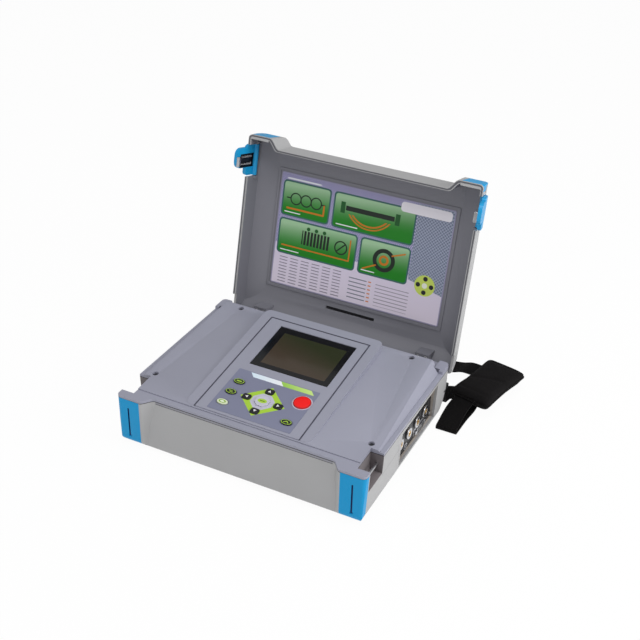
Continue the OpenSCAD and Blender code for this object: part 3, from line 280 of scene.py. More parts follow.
def link(name, mesh, body):
    """Puts a mesh into the scene as a piece that rides on a body."""
    made = bpy.data.objects.new(name, mesh)
    bpy.context.scene.collection.objects.link(made)
    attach(made, body)
    return made


def fresh(node, finish, edge, body, shape=None):
    """A copy of a CAD node's mesh, its doubles merged and its edges rounded, in its place."""
    double_gap, flat_angle, sharp_angle, most_corners = 0.002 * mm, 0.8, 30, 60
    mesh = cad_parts[node].data.copy()
    bm = bmesh.new()
    bm.from_mesh(mesh)
    bmesh.ops.remove_doubles(bm, verts=bm.verts, dist=double_gap)
    bmesh.ops.dissolve_limit(bm, angle_limit=math.radians(flat_angle), verts=bm.verts,
                             edges=bm.edges)
    bmesh.ops.triangulate(bm, faces=[f for f in bm.faces if len(f.verts) > most_corners])
    if shape:
        shape(bm)
    for face in bm.faces:
        face.smooth = True
    bm.to_mesh(mesh)
    bm.free()
    mesh.materials.clear()
    mesh.materials.append(finish.material)
    mesh.set_sharp_from_angle(angle=math.radians(sharp_angle))
    made = link(node + "_skin", mesh, body)
    if edge:
        soften(made, edge)
    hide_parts(node)


case_grey = moulded("case_grey", case_tone)
x, y, z = case_grey.mapped()
lines = strokes(y, z, wall_line_half, *wall_lines) * (x > right_wall_x)
lined = case_grey.mix(lines * wall_line_depth, case_grey.paint, (0.1, 0.1, 0.1))
# The latch pockets are painted darker inside: painted shade in the recesses.
pocket_shade = block(abs(x), y, pocket_low, pocket_high) * (z > pocket_floor)
shaded = case_grey.mix(pocket_shade, lined, painted(112, 106, 108))
# The top half millimetre of the tub, under the bezel, is painted near black: painted shadow in the
# joint.
case_grey.colour(case_grey.mix(z > seam_z - seam_on_case, shaded, seam_shadow_black))
fresh("lower_case", case_grey, case_edge, "case")

# The bumpers on the corners of the case and the lid, and the feet, are blue rubber. A narrow
# upright slot divides each front bumper; its inside is painted dark navy as shade.
blue = painted(0, 150, 208)
slot_line, slot_half = ((137, 11), (137, 48)), 1.3
slot_front, slot_back = -114.6, -113

bumper_blue = moulded("bumper_blue", blue, 0.45, 900)
bumper_blue.shader.inputs["Specular IOR Level"].default_value = 0.25
x, y, z = bumper_blue.mapped()
# The slot's inside is painted dark navy: painted shade in the recess.
slot_shade = strokes(abs(x), z, slot_half, slot_line) * (y < slot_back) * (y > slot_front)
bumper_blue.colour(bumper_blue.mix(slot_shade, bumper_blue.paint, painted(6, 30, 84)))
for node, body in (("case_bumper_left", "case"), ("case_bumper_right", "case"), ("feet", "case"),
                   ("lid_bumper_left", "lid"), ("lid_bumper_right", "lid")):
    fresh(node, bumper_blue, 0.5 * mm, body)

# The bezel is a separate frame that closes the tub, and the lid lands on it. The thin strip
# under its front lip is a darker insert, with painted shadow lines in the joints above and below.
violet_grey = painted(150, 151, 166)
seam_on_bezel = 0.35
trim_mid, trim_half = seam_z - 1.75, 1.2


def wear(finish, *nodes):
    """Gives CAD nodes that keep their own mesh a material."""
    for node in nodes:
        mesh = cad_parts[node].data
        mesh.materials.clear()
        mesh.materials.append(finish.material)


bezel_grey = moulded("bezel_grey", violet_grey, 0.42)
z = bezel_grey.mapped()[2]
# The bottom of the bezel's edge is painted near black: painted shadow in its joint with the tub.
bezel_grey.colour(bezel_grey.mix(z < seam_z + seam_on_bezel, bezel_grey.paint, seam_shadow_black))
fresh("case_bezel", bezel_grey, 0.7 * mm, "case")
trim_grey = moulded("trim_grey", painted(142, 142, 150))
z = trim_grey.mapped()[2]
# Its top and bottom edges are painted near black: painted shadow in the joints with the bezel.
trim_grey.colour(trim_grey.mix(abs(z - trim_mid) > trim_half, trim_grey.paint, seam_shadow_black))
wear(trim_grey, "front_trim_strip")

# The faceplate is one satin moulding with a raised console, bounded by a narrow groove. Four
# black screws at the bottom of deep seats hold it down.
console_tilt = math.radians(6)
console_origin = Vector((0, -93, 63.4))
groove_half, groove_far, groove_w, groove_shade = 65.4, 176.4, 2.0, 0.75


def metal(name, tone, rough, streak=900.0, depth=0.00001):
    """Drawn or turned metal: fine streaks in its gloss and a slow change of tone."""
    darker, gloss_range = 0.85, 0.2
    made = Finish(name, Metallic=1.0)
    place = made.place()
    fine = made.noise(place, streak)
    made.colour(made.mix(made.noise(place, 60.0), [c * darker for c in tone], tone))
    made.rough(fine * gloss_range + (rough - gloss_range / 2))
    made.bump(fine, depth, 0.4)
    return made


def on_console(made):
    """The place in the console's own plane: right, up the slope, and out."""
    turn = Matrix.Rotation(-console_tilt, 3, "X")
    return made.mapped(-(turn @ console_origin), (-console_tilt, 0, 0))


fresh("faceplate_screws", metal("dark_steel", (0.12, 0.12, 0.13), 0.4), 0.3 * mm, "case")
plate_grey = moulded("plate_grey", violet_grey, 0.4)
u, v, w = on_console(plate_grey)
# A band along the groove is painted darker: painted shade in and beside the groove.
groove_shadow_band = (block(u, v, (-groove_half, 0), (groove_half, groove_far))
          * (1 - block(u, v, (groove_w - groove_half, -5),
                       (groove_half - groove_w, groove_far - groove_w))) * (w > -3))
plate_grey.colour(plate_grey.mix(groove_shadow_band * groove_shade, plate_grey.paint, painted(70, 70, 84)))
fresh("faceplate", plate_grey, 0.6 * mm, "case")

# The display: a clear window with a black printed border, flush in its opening, over the
# dark olive glass of the unlit panel, whose dots show as a fine grid.
lcd_low, lcd_high = (-36, 96.5), (45, 155.5)
dot_pitch, dot_gap, dot_shade = 0.5, 0.06, 0.2
fade_lean, fade_from, fade_rate = 0.35, 110, 0.025

glass = Finish("window_glass", Coat_Weight=0.3, Coat_Roughness=0.05, Specular_IOR_Level=0.3)
u, v = on_console(glass)[:2]
fade = ((u * fade_lean + v - fade_from) * fade_rate).clamp()
dots = (((u % dot_pitch) < dot_gap) + ((v % dot_pitch) < dot_gap)).clamp()
lcd = glass.mix(fade, painted(70, 60, 50), painted(50, 54, 36))
lcd = glass.mix(dots * dot_shade, lcd, painted(40, 38, 30))
glass.colour(glass.mix(block(u, v, lcd_low, lcd_high), (0.006, 0.006, 0.007), lcd))
glass.rough(glass.noise(glass.place(), 300.0) * 0.05 + 0.12)
fresh("display_window", glass, 0.3 * mm, "case")

# The keypad: a printed sheet let into the console, and keys that stand through it. The marks
# on sheet and keys are plain shapes, without letters.
nav = (0, 36.4)
nav_reach, nav_rise = 19.6, 17.24
key_column, key_row = 39.5, 18.6
rear_left, middle_left = (-key_column, nav[1] + key_row), (-key_column, nav[1])
front_left, front_right = (-key_column, nav[1] - key_row), (key_column, nav[1] - key_row)
start_mid, start_r, start_rim_r = (40.4, 53), 8.7, 11.4
diamond_half, ring_half = (27.5, 25.0), (13.2, 12.4)
ring_reach, ring_corner = 13.4, 1.32
stripe_low, stripe_high, stripe_lean, stripe_lean_from = (-33, 68.5), (43, 75.2), 0.9, 72.5
stripe_mid = 5
key_seat_half, key_rim_half, key_face_half = (8.0, 5.4), (6.1, 3.6), (5.4, 3.0)
lime = painted(165, 205, 60)
pale_grey = painted(190, 188, 205)
key_black = painted(28, 29, 32)


def disc(a, b, mid, radius):
    """1 inside a circle."""
    return ((a - mid[0]) * (a - mid[0]) + (b - mid[1]) * (b - mid[1])) < radius * radius


def oval(a, b, mid, half):
    """1 inside an ellipse."""
    return disc((a - mid[0]) / half[0], (b - mid[1]) / half[1], (0, 0), 1)


sheet = moulded("overlay_grey", painted(124, 127, 150), 0.4, 1800, 0.000015)
u, v = on_console(sheet)[:2]
nav_u, nav_v = u - nav[0], v - nav[1]
diamond = (abs(nav_u) / diamond_half[0] + abs(nav_v) / diamond_half[1]) < 1
ring = (((abs(nav_u) / ring_reach + abs(nav_v) / ring_reach) < ring_corner)
        * block(nav_u, nav_v, (-ring_half[0], -ring_half[1]), ring_half))
leaned = u + (v - stripe_lean_from) * stripe_lean
stripe_run = stripe_mid - stripe_low[0]
stripe_left = sheet.mix(((leaned - stripe_low[0]) / stripe_run).clamp(), painted(214, 232, 246),
                        painted(238, 240, 244))
stripe_right = sheet.mix(((leaned - stripe_mid) / stripe_run).clamp(), painted(150, 200, 80),
                         painted(196, 226, 130))
sheet_marks = [(diamond, lime), (ring, pale_grey), (disc(u, v, start_mid, start_rim_r), pale_grey),
               (block(leaned, v, stripe_low, stripe_high),
                sheet.mix(leaned > stripe_mid, stripe_left, stripe_right))]
sheet_marks += [(oval(u, v, mid, key_seat_half), painted(104, 107, 128))
                for mid in (rear_left, middle_left, front_left, front_right)]
paint = sheet.paint
for mask, colour in sheet_marks:
    paint = sheet.mix(mask, paint, colour)
sheet.colour(paint)
fresh("keypad_overlay", sheet, 0, "case")


def key_finish(name, tone, mid, marks):
    """Satin key plastic with a printed mark; marks gets the place from the key's middle."""
    made = moulded(name, tone, 0.35, 1500, 0.00001)
    u, v = on_console(made)[:2]
    paint = made.paint
    for mask, colour in marks(u - mid[0], v - mid[1]):
        paint = made.mix(mask, paint, colour)
    made.colour(paint)
    return made


def dark_oval(half, *lines):
    """The marks of a black oval key: a lime rim line, and lime strokes in its middle."""
    def marks(a, b):
        rim = oval(a, b, (0, 0), key_rim_half) * (1 - oval(a, b, (0, 0), key_face_half))
        return [(rim, lime), (strokes(a, b, half, *lines), lime)]
    return marks


def pale_oval(a, b):
    """A green ring on a pale key."""
    return [(oval(a, b, (0, 0), (4.4, 2.4)), painted(140, 176, 70)),
            (oval(a, b, (0, 0), (2.6, 1.3)), painted(228, 238, 214))]


def enter_marks(a, b):
    """A lime oval with a dark bar."""
    return [(oval(a, b, (0, 0), (5.6, 3.3)), lime),
            (strokes(a, b, 0.5, ((-2.6, 0), (2.6, 0))), painted(60, 92, 30))]


def arrow(turn):
    """A white triangle pointing along turn, in quarter turns from the right."""
    def marks(a, b):
        along, across = ((a, b), (b, a), (0 - a, b), (0 - b, a))[turn]
        return [((along > -1.5) * ((along * 0.62 + abs(across)) < 1.05), (0.85, 0.85, 0.85))]
    return marks


def start_marks(a, b):
    """A darker rim round the red key."""
    return [(1 - disc(a, b, (0, 0), start_r), painted(196, 30, 26))]


keys = [
    ("start_key", start_mid, painted(244, 12, 10), start_marks, "key_red"),
    ("enter_key", nav, painted(196, 195, 208), enter_marks, "key_white"),
    ("right_key", (nav_reach, nav[1]), key_black, arrow(0), "key_dark"),
    ("up_key", (0, nav[1] + nav_rise), key_black, arrow(1), "key_dark"),
    ("left_key", (-nav_reach, nav[1]), key_black, arrow(2), "key_dark"),
    ("down_key", (0, nav[1] - nav_rise), key_black, arrow(3), "key_dark"),
    ("rear_oval_key", rear_left, key_black, dark_oval(0.9, ((-2.4, 0), (2.4, 0))), "key_dark"),
    ("middle_oval_key", middle_left, key_black,
     dark_oval(0.4, ((-2.6, 0.9), (1.2, 0.9)), ((-1.2, -0.9), (2.6, -0.9))), "key_dark"),
    ("front_oval_key", front_left, painted(214, 224, 190), pale_oval, "key_white"),
    ("right_oval_key", front_right, key_black,
     dark_oval(0.5, ((-2.6, -1), (0, 1.2)), ((0, 1.2), (2.6, -1))), "key_dark"),
]
for node, mid, tone, marks, slot in keys:
    fresh(node, key_finish(node + "_plastic", tone, mid, marks), 0.55 * mm, node)

# Steel pins and rods: hinge pins through the rear wall, keeper rods across the latch pockets,
# and small screws. The strap bars are black plastic.
steel = metal("steel", (0.62, 0.62, 0.64), 0.28)
for node, edge, body in (("latch_keepers", 0.3, "case"), ("hinge_pins", 0.3, "case"),
                         ("panel_screws", 0.2, "case"), ("latch_pins", 0.3, "lid"),
                         ("hinge_arm_screws", 0.2, "lid")):
    fresh(node, steel, edge * mm, body)
black_plastic = moulded("black_plastic", painted(34, 34, 36), 0.45, 1200)
fresh("strap_bars", black_plastic, 0.5 * mm, "case")

# The recess of the right wall is lined with a warm grey tray. Its black panel carries four
# measuring sockets, with chromed collars on brass sleeves, a data port and a charging socket.
shell_steel = (0.6, 0.6, 0.62)
port_face_x = 146.2
shroud_low, shroud_high = (38.9, 12.6), (57.1, 19.4)
pins_low, pins_high = (40.6, 12.6), (55.4, 19.4)
pin_pitch, pin_row, pin_r, port_mid_z = 2.7, 1.4, 0.62, 16

tray_grey = moulded("tray_grey", painted(176, 168, 160), 0.5)
panel_black = moulded("panel_black", painted(26, 26, 28), 0.35, 1000)
chrome = metal("collar_chrome", shell_steel, 0.16)
fresh("connector_tray", tray_grey, 0.15 * mm, "case")
fresh("connector_panel", panel_black, 0.15 * mm, "case")
fresh("socket_sleeves", metal("contact_brass", (0.75, 0.52, 0.22), 0.25), 0.25 * mm, "case")
fresh("socket_collars", chrome, 0.7 * mm, "case")
fresh("charge_socket", steel, 0.2 * mm, "case")
port_steel = metal("port_steel", shell_steel, 0.3)
x, y, z = port_steel.mapped()
pins = (disc((y % pin_pitch) - pin_pitch / 2, abs(z - port_mid_z) - pin_row, (0, 0), pin_r)
        * block(y, z, pins_low, pins_high))
shroud = block(y, z, shroud_low, shroud_high) * (x > port_face_x)
port_steel.colour(port_steel.mix((shroud * (1 - pins)).clamp(), shell_steel, painted(24, 24, 26)))
fresh("data_port", port_steel, 0.25 * mm, "case")

# The lid is moulded like the case. Its inside is painted darker as shade, and a slot near the
# hinge is painted near black as shade. The inside is drawn as it lies with the lid shut, and
# turns back by the angle that the lid stands open.
lid_open = math.radians(103)
hinge = Vector((0, 112.2, 46))
lid_seat, lid_floor, rim_margin, slot_margin = 62.5, 94, 0.4, 0.5
lid_slot_low, lid_slot_high = (-33, 83.2), (33, 87.4)
cove_x, cove_run, cove_depth, cove_front, front_lean = 106.4, 14, 5.4, -107.3, 0.04
fold_x, fold_slope, fold_z = 125, 0.36, 95.5
tail_y, tail_run, tail_rise = 77, 36.5, 33.5
side_wall_x = 146.3


def on_lid(made):
    """The place on the shut lid."""
    turn = Matrix.Rotation(lid_open, 3, "X")
    return made.mapped(hinge - turn @ hinge, (lid_open, 0, 0))


lid_grey = moulded("lid_grey", case_tone, 0.5)
x, y, z = on_lid(lid_grey)
cove = ((abs(x) - cove_x) / cove_run).clamp()
front_wall = ((cove * math.pi + math.pi / 2).sine() * cove_depth + cove_front
              + (z - lid_seat) * front_lean)
fold = (abs(x) - fold_x).from_zero() * fold_slope
tail_back, tail_up = (y - tail_y).from_zero() / tail_run, (z - lid_seat) / tail_rise
# The inside of the lid is painted darker: painted shade.
inside_shade = ((abs(x) < side_wall_x) * (y > front_wall) * (z > lid_seat + rim_margin)
          * (z + fold < fold_z) * (tail_back * tail_back + tail_up * tail_up < 1))
lined = lid_grey.mix(inside_shade, lid_grey.paint, painted(122, 122, 130))
# The slot near the hinge is painted near black: painted shade in the slot.
slot_shade = block(x, y, lid_slot_low, lid_slot_high) * (z > lid_floor + slot_margin)
lid_grey.colour(lid_grey.mix(slot_shade, lined, painted(30, 30, 34)))
fresh("lid_shell", lid_grey, 0.7 * mm, "lid")
wear(moulded("gasket_rubber", painted(92, 92, 98), 0.6), "lid_gasket")
for node in ("hinge_arm_left", "hinge_arm_right"):
    fresh(node, moulded(node + "_plastic", painted(116, 116, 124), 0.45), 0.5 * mm, "lid")

# The instruction sheet is a printed film on the inside of the lid. Its print is plain: four
# green panels with line motifs, rows of bars where text would be, a lattice and a bare tab.
sheet_half = (113.2, 70.7)
panels = [((-109, 20), (-47, 61)), ((-39, 20), (65, 61)), ((-109, -29), (-5, 13)),
          ((3, -29), (65, 13))]
panel_rim, panel_rim_corner, panel_corner = 2, 5, 3.5
pale_low, pale_right = -18, 70
blue_left, blue_lean, blue_low = 68, 0.25, -6
tab_low, tab_high, tab_corner = (46, 57), (110.5, 69), 4
lime_disc_mid, lime_disc_r, lime_hub_r = (90, -26), 13, 3.4
lime_dot_reach, lime_dot_r = 8.5, 2.9
ink, amber, leaf = painted(14, 32, 20), painted(196, 112, 20), painted(8, 84, 30)


def rounded(a, b, low, high, radius):
    """1 inside a rectangle with rounded corners."""
    over = []
    for value, start, end in ((a, low[0], high[0]), (b, low[1], high[1])):
        over.append((abs(value - (start + end) / 2) - ((end - start) / 2 - radius)).from_zero())
    return (over[0] * over[0] + over[1] * over[1]) < radius * radius


def loop(a, b, mid, radius, half):
    """1 on a circle's line."""
    return disc(a, b, mid, radius + half) * (1 - disc(a, b, mid, radius - half))


def net(a, b, slant, pitch, line):
    """1 on two crossing sets of lines."""
    return ((((a + b * slant) % pitch) < line) + (((a - b * slant) % pitch) < line)).clamp()


film = Finish("label_film", Specular_IOR_Level=0.25)
x, y = on_lid(film)[:2]
a, b = x, 0 - y
pale = film.mix(((b + 72) / 90).clamp(), painted(226, 216, 232), painted(205, 196, 222))
violet = film.mix(net(a, b, 0.6, 2.4, 0.9), painted(196, 190, 222), painted(112, 112, 158))
steel_blue = film.mix(net(a, b, 1, 4.2, 0.9), painted(112, 120, 142), painted(168, 176, 198))
paint = film.mix((b > pale_low) * (a < pale_right), pale, violet)
paint = film.mix((a > blue_left) * ((b + a * blue_lean) > blue_low), paint, steel_blue)
for low, high in panels:
    rim_low, rim_high = [c - panel_rim for c in low], [c + panel_rim for c in high]
    rim = rounded(a, b, rim_low, rim_high, panel_rim_corner)
    paint = film.mix(rim, paint, painted(52, 98, 92))
    fade = ((b - low[1]) / (high[1] - low[1]) * 1.25 - (a - low[0]) * 0.002 - 0.1).clamp()
    green = film.mix(fade * fade, painted(0, 124, 6), painted(160, 198, 158))
    paint = film.mix(rounded(a, b, low, high, panel_corner), paint, green)
motifs = [
    (loop(a, b, (-92, 41), 7, 0.8) + loop(a, b, (-78, 41), 7, 0.8)
     + loop(a, b, (-64, 41), 7, 0.8), ink),
    (strokes(a, b, 0.8, ((-104, 41), (-99, 41)), ((-57, 41), (-52, 41))), ink),
    (strokes(a, b, 1.1, ((-103, 28), (-53, 28)), ((-53, 28), (-53, 40))), amber),
    (block(a, b, (-24, 42), (40, 48)), ink),
    (block(a, b, (-31, 38), (-25, 52)) + block(a, b, (41, 38), (47, 52)), leaf),
    ((loop(a, b, (8, 58), 30, 1.0) + loop(a, b, (8, 58), 33.5, 0.8)) * (b < 38), amber),
    (block(a, b, (-78, -14), (-40, 4)) * ((a % 4.5) > 1.5), ink),
    (disc(a, b, (-70, 7), 2.4) + disc(a, b, (-59, 7), 2.4) + disc(a, b, (-48, 7), 2.4), leaf),
    (strokes(a, b, 0.9, ((-104, -20), (-12, -20)), ((-12, -20), (-12, 6))), amber),
    (loop(a, b, (-24, -6), 8, 0.9) + strokes(a, b, 0.9, ((-29.6, -11.6), (-18.4, -0.4))), ink),
    (loop(a, b, (34, -8), 12, 2.6), ink),
    (loop(a, b, (34, -8), 5, 1.4), amber),
    (strokes(a, b, 0.9, ((8, -24), (24, -16)), ((44, 0), (60, 6))), amber),
    (block(a, b, (-108, -69), (-18, -35)) * ((b % 4.0) < 1.1) * ((a % 15) < 11),
     painted(128, 122, 140)),
    (block(a, b, (-8, -66), (16, -36)) * ((b % 5.0) < 1.2), painted(104, 110, 124)),
    (block(a, b, (28, -67), (72, -36)) * ((b % 4.5) < 0.9), painted(132, 126, 142)),
    (block(a, b, (18, -66), (22, -36)) * ((b % 5.0) < 1.6), painted(210, 130, 70)),
    (block(a, b, (-106, 64.4), (-60, 66.2)) + block(a, b, (-106, 22.5), (-84, 23.7))
     + block(a, b, (-35, 22.5), (-6, 23.7)) + block(a, b, (-106, -26.5), (-80, -25.3))
     + block(a, b, (6, -26.5), (24, -25.3)), painted(234, 236, 240)),
    (rounded(a, b, tab_low, tab_high, tab_corner), painted(236, 232, 240)),
    (disc(a, b, lime_disc_mid, lime_disc_r), painted(196, 214, 96)),
]
motifs += [(disc(a - da, b - db, lime_disc_mid, lime_dot_r), painted(30, 32, 34)) for da, db in
           ((0, lime_dot_reach), (0, -lime_dot_reach), (-lime_dot_reach, 0), (lime_dot_reach, 0))]
motifs += [(disc(a, b, lime_disc_mid, lime_hub_r), painted(232, 236, 222)),
           (1 - block(a, b, (-sheet_half[0], -sheet_half[1]), sheet_half), painted(150, 146, 176))]
for mask, colour in motifs:
    paint = film.mix(mask.clamp(), paint, colour)
film.colour(paint)
film.rough(film.noise(film.place(), 500.0) * 0.1 + 0.28)
fresh("lid_label", film, 0, "lid")

# Each side latch is a blue lever on a pin in the lid, with a steel hook that grips the rod in
# the case, and two small tension springs in its hollow. Its tongue and its step are rounded.
latch_pivot = Vector((146.6, -82, 79))
latch_rest = math.radians(10)
tongue_z, tongue_r = 44, 8
step_z, step_reach, step_r = 62.5, 18.5, 4
hollow_low, hollow_high, hollow_back, hollow_face = (-90.8, 50.2), (-73.2, 75.8), 147.2, 150.5
spring_x, spring_ys, spring_z, spring_long = 148.7, (-86.5, -77.5), 54, 19
spring_r, spring_wire, spring_turns, spring_steps = 1.25, 0.3, 9, 12


def turn_verts(bm, about, angle, axis):
    """Turns a shape about an axis through a point in millimetres."""
    bmesh.ops.rotate(bm, verts=bm.verts, cent=about * mm, matrix=Matrix.Rotation(angle, 3, axis))


def to_side(bm, side):
    """Mirrors a right latch's shape for the left, or back."""
    if side < 0:
        bmesh.ops.scale(bm, verts=bm.verts, vec=(-1, 1, 1))
        bmesh.ops.reverse_faces(bm, faces=bm.faces)


def to_lid_open(bm, side):
    """Takes a shape from the engaged right latch to the released latch on the open lid."""
    turn_verts(bm, latch_pivot, -latch_rest, "Y")
    to_side(bm, side)
    turn_verts(bm, hinge, -lid_open, "X")


def to_engaged(bm, side):
    """The way back of to_lid_open."""
    turn_verts(bm, hinge, lid_open, "X")
    to_side(bm, side)
    turn_verts(bm, latch_pivot, latch_rest, "Y")


def round_latch(bm, side):
    """Rounds the outer corners of the lever, at the edges that run through its thickness."""
    off_height, off_line, thinnest = 0.2 * mm, 0.1 * mm, 3 * mm
    to_engaged(bm, side)
    for height, reach, radius in ((tongue_z, 0, tongue_r), (step_z, step_reach, step_r)):
        corners = [e for e in bm.edges
                   if all(abs(vert.co.z - height * mm) < off_height for vert in e.verts)
                   and all(abs(vert.co.y - latch_pivot.y * mm) > reach * mm for vert in e.verts)
                   and abs(e.verts[0].co.x - e.verts[1].co.x) > thinnest
                   and abs(e.verts[0].co.y - e.verts[1].co.y) < off_line]
        bmesh.ops.bevel(bm, geom=corners, offset=radius * mm, segments=6, profile=0.5,
                        affect="EDGES", material=-1)
    to_lid_open(bm, side)


for side, name in ((-1, "left"), (1, "right")):
    body = name + "_latch"
    lever = moulded("latch_blue_" + name, blue, 0.42, 900)
    pivot = Vector((side * latch_pivot.x, latch_pivot.y, latch_pivot.z))
    shut = Matrix.Rotation(lid_open, 3, "X")
    engaged = Matrix.Rotation(side * latch_rest, 3, "Y")
    x, y, z = lever.mapped(pivot - engaged @ pivot + engaged @ (hinge - shut @ hinge),
                           (engaged @ shut).to_euler())
    # The lever's hollow is painted dark navy: painted shade on its walls and floor.
    hollow_shade = (block(y, z, hollow_low, hollow_high) * (abs(x) > hollow_back)
              * (abs(x) < hollow_face))
    lever.colour(lever.mix(hollow_shade, lever.paint, painted(16, 20, 34)))
    fresh("latch_" + name, lever, 0.9 * mm, body,
          shape=lambda bm: round_latch(bm, side))
    fresh("latch_hook_" + name, chrome, 0.25 * mm, body)
    bm = bmesh.new()
    for spring_y in spring_ys:
        foot = Vector((spring_x, spring_y, spring_z))
        ring = bmesh.ops.create_circle(bm, segments=8, radius=spring_wire * mm)["verts"]
        bmesh.ops.rotate(bm, verts=ring, matrix=Matrix.Rotation(math.radians(90), 3, "X"))
        bmesh.ops.translate(bm, verts=ring, vec=(foot + Vector((spring_r, 0, 0))) * mm)
        steps = spring_turns * spring_steps
        bmesh.ops.spin(bm, geom=[e for e in bm.edges if all(vert in ring for vert in e.verts)],
                       cent=foot * mm, axis=(0, 0, 1), angle=math.tau * spring_turns, steps=steps,
                       dvec=Vector((0, 0, spring_long / steps)) * mm)
    bmesh.ops.holes_fill(bm, edges=[e for e in bm.edges if e.is_boundary])
    bmesh.ops.recalc_face_normals(bm, faces=bm.faces)
    for face in bm.faces:
        face.smooth = True
    to_lid_open(bm, side)
    mesh = bpy.data.meshes.new("latch_springs_" + name)
    bm.to_mesh(mesh)
    bm.free()
    mesh.materials.append(steel.material)
    link("latch_springs_" + name, mesh, body)

# The shoulder strap is 26 mm polyester webbing, 2 mm thick. Each run goes once round its bar,
# drops to the bench and lies there, and ends in the padded sleeve.
webbing_w, webbing_t, webbing_gap, webbing_in = 26, 2, 0.3, 0.6
webbing_step, webbing_columns = 3, 6
bar_x, bar_y, bar_z, bar_r, bar_wrap, wrap_points = 134.1, 120, 30, 2, 250, 7
ground_z = bench_z / mm
laid_z = ground_z + webbing_gap + webbing_t
pad_mid, pad_size = (184, 169), (52, 88, 30)
pad_turn, pad_tilt = math.radians(-12), math.radians(-1.2)
up, down = (0, 0, 1), (0, 0, -1)
cloth_black = painted(17, 15, 16)


def beside_pad(across, along, height):
    """A point by the padded sleeve, from the sleeve's own middle."""
    return (pad_mid[0] + across * math.cos(pad_turn) - along * math.sin(pad_turn),
            pad_mid[1] + across * math.sin(pad_turn) + along * math.cos(pad_turn),
            ground_z + height)


def from_bar(x):
    """The run round the bar and down to the bench: points, with the side of the thickness."""
    reach = bar_r + webbing_gap + webbing_t
    turns = [math.radians(bar_wrap * (1 - i / (wrap_points - 1))) for i in range(wrap_points)]
    run = [((x, bar_y + reach * math.cos(t), bar_z + reach * math.sin(t)),
            (0, -math.cos(t), -math.sin(t))) for t in turns]
    return run + [((x, bar_y + 5, 15), (0, -1, 0)), ((x, bar_y + 7, 4), (0, -0.9, -0.4)),
                  ((x, bar_y + 11, 0), (0, -0.5, -0.8))]


def laid(x, spots):
    """Points on the bench, from the bar at x; a third number lifts a point."""
    return [((x + spot[0], bar_y + spot[1], laid_z + sum(spot[2:])), down) for spot in spots]


fold_r = 1.5
half_turn = [math.pi * i / (wrap_points - 1) for i in range(wrap_points)]
right_run = from_bar(bar_x)
right_run += laid(bar_x, ((0, 18), (3, 28), (10, 34), (18, 36), (26, 34), (33, 28), (36, 17),
                          (34, -10)))
right_run += [((bar_x + 33, bar_y - 40 - fold_r * math.sin(t), laid_z + fold_r * (1 - math.cos(t))),
               (0, -math.sin(t), -math.cos(t))) for t in half_turn]
right_run += [(beside_pad(-5, -60, 10), up), (beside_pad(-5, -40, 17), up)]
left_run = from_bar(-bar_x)
left_run += laid(-bar_x, ((0, 20), (4, 38), (14, 56), (32, 70), (70, 80), (134, 84)))
left_run += laid(bar_x, ((-60, 85), (-20, 84.5, 1), (0, 82, 5)))
left_run += [(beside_pad(-42, 22, 13), down), (beside_pad(-22, 22, 15), down)]

rib_pitch, pick_pitch, selvedge_w = 1.6, 1.3, 1.2
chevron, chevron_lean = 6.5, 0.8
weave = Finish("webbing_weave", Specular_IOR_Level=0.15)
a, b = weave.axes(weave.node("ShaderNodeTexCoord", {}, out="UV"))[:2]
ribs = (a * (math.tau / rib_pitch)).sine() * 0.5 + 0.5
leaned = b + abs((a % chevron) - chevron / 2) * chevron_lean
picks = (leaned * (math.tau / pick_pitch)).sine() * 0.5 + 0.5
selvedge = abs(a - webbing_w / 2) > webbing_w / 2 - selvedge_w
thread = ribs * picks
weave.colour(weave.mix(thread, [c * 0.55 for c in cloth_black], [c * 1.7 for c in cloth_black]))
weave.rough(0.85 - thread * 0.15)
weave.bump(thread + selvedge * 0.6, 0.0004, 0.7)


def webbing(name, run, node):
    """A flat strap: a grid laid along the run, with its thickness and soft edges added."""
    points = [Vector(p) * mm for p, _ in run]
    sides = [Vector(s) for _, s in run]
    last = len(points) - 1
    spots = []
    for i in range(last):
        p0, p1, p2, p3 = points[max(i - 1, 0)], points[i], points[i + 1], points[min(i + 2, last)]
        span = (p2 - p1).length
        m1, m2 = (p2 - p0).normalized() * span, (p3 - p1).normalized() * span
        steps = max(2, round(span / (webbing_step * mm)))
        for k in range(steps + (i == last - 1)):
            t = k / steps
            spot = ((2 * t**3 - 3 * t**2 + 1) * p1 + (t**3 - 2 * t**2 + t) * m1
                    + (3 * t**2 - 2 * t**3) * p2 + (t**3 - t**2) * m2)
            spots.append((spot, sides[i].lerp(sides[i + 1], t)))
    bm = bmesh.new()
    uv_layer = bm.loops.layers.uv.new("cloth")
    bmesh.ops.create_grid(bm, x_segments=webbing_columns, y_segments=len(spots) - 1, size=1)
    bm.verts.ensure_lookup_table()
    flat = {}
    run_length = 0
    for j, (spot, out) in enumerate(spots):
        ahead = spots[min(j + 1, len(spots) - 1)][0] - spots[max(j - 1, 0)][0]
        across = out.cross(ahead).normalized()
        inward = ahead.cross(across).normalized()
        run_length += (spot - spots[j - 1][0]).length if j else 0
        for i in range(webbing_columns + 1):
            vert = bm.verts[j * (webbing_columns + 1) + i]
            share = i / webbing_columns
            vert.co = (spot + across * ((share - 0.5) * (webbing_w - webbing_in) * mm)
                       + inward * (webbing_t / 2 * mm))
            flat[vert.index] = (share * webbing_w, run_length / mm)
    for face in bm.faces:
        face.smooth = True
        for corner in face.loops:
            corner[uv_layer].uv = flat[corner.vert.index]
    mesh = bpy.data.meshes.new(name)
    bm.to_mesh(mesh)
    bm.free()
    mesh.materials.append(weave.material)
    strap = link(name, mesh, "case")
    thick = strap.modifiers.new("thickness", "SOLIDIFY")
    thick.thickness = webbing_t * mm
    thick.offset = 0
    soften(strap, 0.5 * mm, 2, 50)
    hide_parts(node)


webbing("webbing_right", right_run, "strap_webbing_right")
webbing("webbing_left", left_run, "strap_webbing_left")

